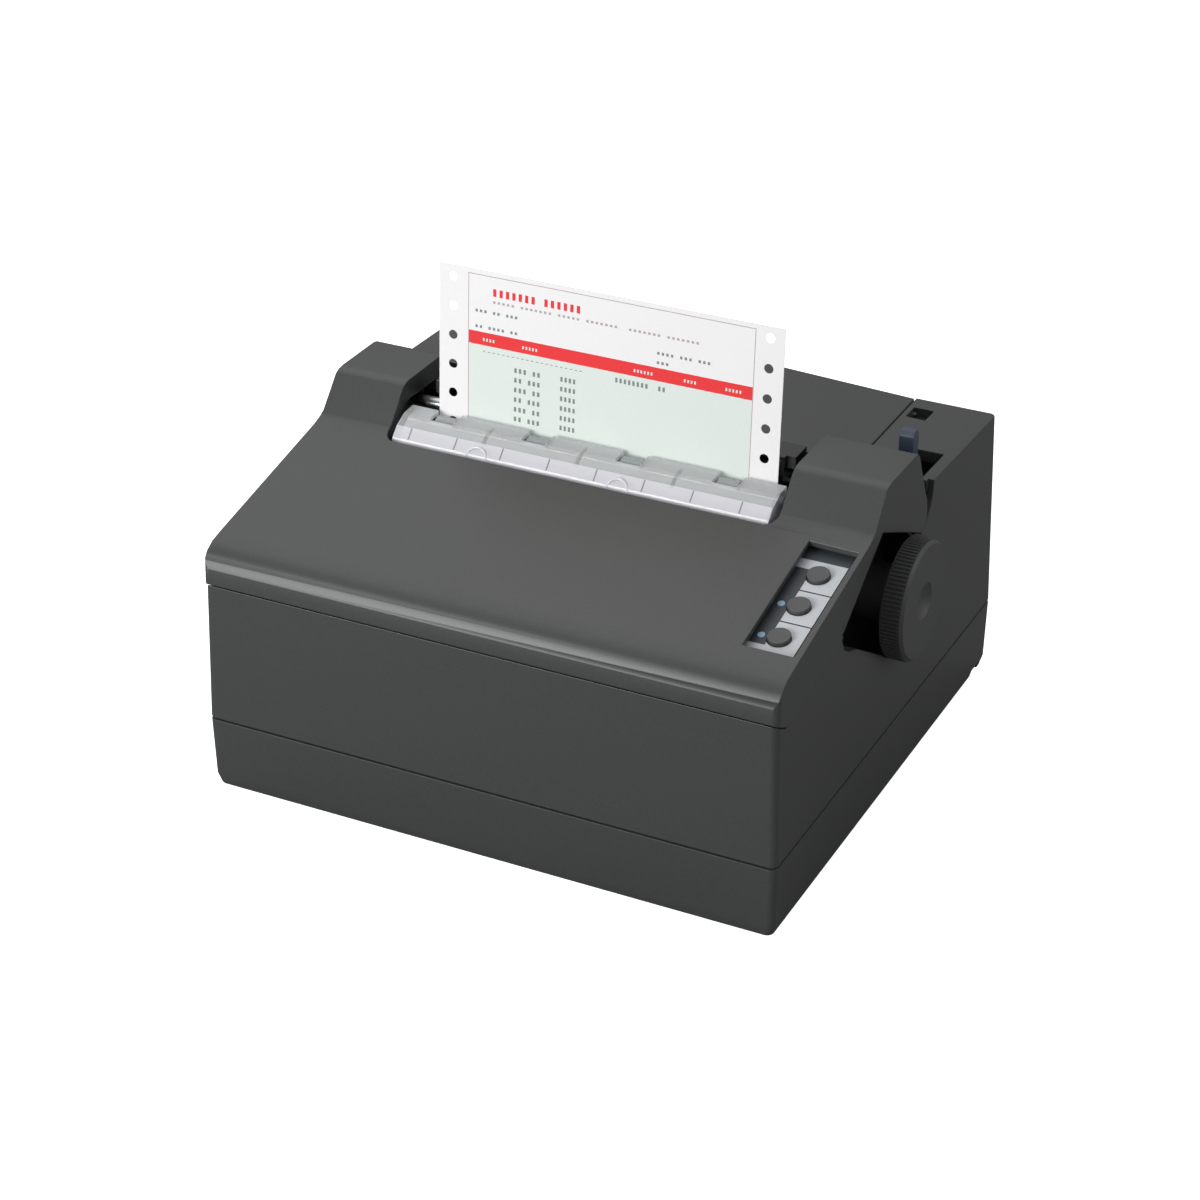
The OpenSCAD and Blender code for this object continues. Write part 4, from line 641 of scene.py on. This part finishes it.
def collar(name, x):
    """A half-round collar on the cover's front: the upper half of a thin ring."""
    bpy.ops.object.select_all(action="DESELECT")
    bpy.ops.mesh.primitive_torus_add(
        major_radius=COLLAR_R * MM, minor_radius=COLLAR_THICK * MM, major_segments=48, minor_segments=12
    )
    ring = bpy.context.object
    ring.name = name
    bpy.ops.object.mode_set(mode="EDIT")
    bpy.ops.mesh.select_all(action="SELECT")
    bpy.ops.mesh.bisect(plane_co=(0, 0, 0), plane_no=(0, 1, 0), clear_inner=True, use_fill=True)
    bpy.ops.object.mode_set(mode="OBJECT")
    ring.rotation_euler = (COLLAR_TILT, 0, 0)
    ring.location = at(x, 90.2, 126.6)
    only(ring)
    bpy.ops.object.transform_apply(location=True, rotation=True, scale=True)
    bpy.ops.object.shade_smooth_by_angle(angle=SMOOTH_BELOW)
    ring.data.materials.append(polycarbonate)
    return settle(ring, "case", "clear_cover")


for i, roller in enumerate(ROLLERS):
    rib_end(f"rib_end_{i}_left", roller - RIB_FROM_ROLLER)
    rib_end(f"rib_end_{i}_right", roller + RIB_FROM_ROLLER)
collar("collar_left", -48.8)
collar("collar_right", 15)
print("clear cover:", len(cover.data.polygons), "faces")

# %% [markdown]
# ## Control panel
# The panel is one moulding with a printed film on its face. The film's fields are cut into the face in
# the panel's own directions: across the printer, and up along the slope of the cover.

# %% Control panel
SLOPE = math.radians(12.32)
PANEL_START = (24.8, 113.797)  # y and z of the cover's top over the panel's front edge
UP_THE_PANEL = Vector((0, math.cos(SLOPE), math.sin(SLOPE)))
OUT_OF_THE_PANEL = Vector((0, -math.sin(SLOPE), math.cos(SLOPE)))
PANEL_DROP = 4.6
FIELD_X, FRONT_EDGE, COLUMN_END, BAND_START = 106.3, 3.8, 50.0, 55.4
DIVIDERS = ((17.9, 18.6), (37.0, 37.7))
SLATE, RULE = 1, 2  # their places in the list of films, where the pale one is 0


def on_panel(x, up):
    """A place on the panel's face: x across, up along the slope from its front edge."""
    start = at(x, *PANEL_START) - OUT_OF_THE_PANEL * PANEL_DROP * MM
    return start + UP_THE_PANEL * up * MM


panel = twin_of("control_panel", "panel_with_film", whole=False)
ups = [FRONT_EDGE, COLUMN_END, BAND_START] + [edge for pair in DIVIDERS for edge in pair]
cut_at(panel, [on_panel(0, up) for up in ups], UP_THE_PANEL)
cut_at(panel, [on_panel(FIELD_X, 0)], (1, 0, 0))
panel.data.materials.clear()
for film in (film_pale, film_slate, film_rule):
    panel.data.materials.append(film)
only(panel)
bpy.ops.object.shade_flat()
for face in panel.data.polygons:
    up = (face.center - on_panel(0, 0)).dot(UP_THE_PANEL) / MM
    on_face = face.normal.dot(OUT_OF_THE_PANEL) >= FACING
    if on_face and (up > BAND_START or (x_of(face.center) < FIELD_X and FRONT_EDGE < up < COLUMN_END)):
        face.material_index = SLATE
    elif on_face and any(low < up < high for low, high in DIVIDERS):
        face.material_index = RULE
settle(panel, "case", "panel", "control_panel")

# %% [markdown]
# ## Keys
# Each key is a short round cap with a soft rim and a slightly dished top, so that the fingertip finds its
# middle. It starts as a cylinder. Its top is inset and let down a little, its foot is drawn out to a
# flange, and its edges are bevelled.

# %% Keys
KEY_TALL, KEY_SKIRT = 3.0, 1.2
FLANGE_WIDE, RIM_WIDE, DISH_WIDE, DISH_DEEP = 0.8, 0.7, 1.4, 0.12
KEY_EDGE = 0.3


def faces_looking(piece, z):
    """Selects the faces that look along z, up for 1 and down for -1, and opens the piece for editing."""
    bpy.ops.object.mode_set(mode="EDIT")
    bpy.ops.mesh.select_mode(type="FACE")
    bpy.ops.mesh.select_all(action="DESELECT")
    bpy.ops.object.mode_set(mode="OBJECT")
    for face in piece.data.polygons:
        face.select = face.normal.z * z > FACING
    bpy.ops.object.mode_set(mode="EDIT")


def key_cap(name, node):
    """A round cap with a dished top and a flange under it, in the place of that solid."""
    low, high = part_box(node)
    middle = (low + high) / 2
    flange_r = (high.x - low.x) / 2
    cap_r = flange_r - FLANGE_WIDE * MM
    bpy.ops.object.select_all(action="DESELECT")
    bpy.ops.mesh.primitive_cylinder_add(vertices=64, radius=cap_r, depth=KEY_TALL * MM, location=(0, 0, 0))
    cap = bpy.context.object
    cap.name = name
    faces_looking(cap, 1)
    bpy.ops.mesh.inset(thickness=RIM_WIDE * MM, depth=0)
    bpy.ops.mesh.inset(thickness=DISH_WIDE * MM, depth=-DISH_DEEP * MM)
    bpy.ops.object.mode_set(mode="OBJECT")
    faces_looking(cap, -1)
    bpy.ops.mesh.extrude_region_move()
    bpy.ops.transform.resize(value=(flange_r / cap_r, flange_r / cap_r, 1))
    bpy.ops.mesh.extrude_region_move(TRANSFORM_OT_translate={"value": (0, 0, -KEY_SKIRT * MM)})
    bpy.ops.object.mode_set(mode="OBJECT")
    soften(cap, KEY_EDGE, sharper_than=50, segments=3)
    cap.rotation_euler = (SLOPE, 0, 0)
    start = on_panel(x_of(middle), 0)
    up = (middle - start).dot(UP_THE_PANEL)
    proud = max((v.co - start).dot(OUT_OF_THE_PANEL) for v in cad[node].data.vertices)
    cap.location = start + UP_THE_PANEL * up + OUT_OF_THE_PANEL * (proud - KEY_TALL * MM / 2)
    only(cap)
    bpy.ops.object.transform_apply(location=True, rotation=True, scale=True)
    cap.data.materials.append(key_grey)
    return cap


for place in ("front", "middle", "rear"):
    cap = key_cap(f"key_cap_{place}", f"button_{place}")
    settle(cap, f"button_{place}", "button", f"button_{place}")

# %% [markdown]
# ## Small moulded pieces
# The lever, the tractors and their lids, the cartridge, the switch, the sockets and the feet keep the
# shape of their solids. They only get the soft edges that a moulded piece has.

# %% Small moulded pieces
SOFT = (
    ("release_lever", "release_lever", "lever", 0.5),
    ("tractor_lid_left", "tractor_lid_left", "dark_plastic", 0.25),
    ("tractor_lid_right", "tractor_lid_right", "dark_plastic", 0.25),
    ("tractor_unit_left", "case", "dark_plastic", 0.3),
    ("tractor_unit_right", "case", "dark_plastic", 0.3),
    ("ribbon_cartridge", "case", "dark_plastic", 0.5),
    ("mains_inlet", "case", "dark_plastic", 0.3),
    ("power_switch", "power_switch", "dark_plastic", 0.3),
    ("data_port", "case", "tin", 0.3),
    ("rubber_feet", "case", "rubber", 0.4),
)
for node, body, slot, width in SOFT:
    settle(soften(twin_of(node, node + "_moulded"), width), body, slot, node)
print("small moulded pieces:", len(SOFT))
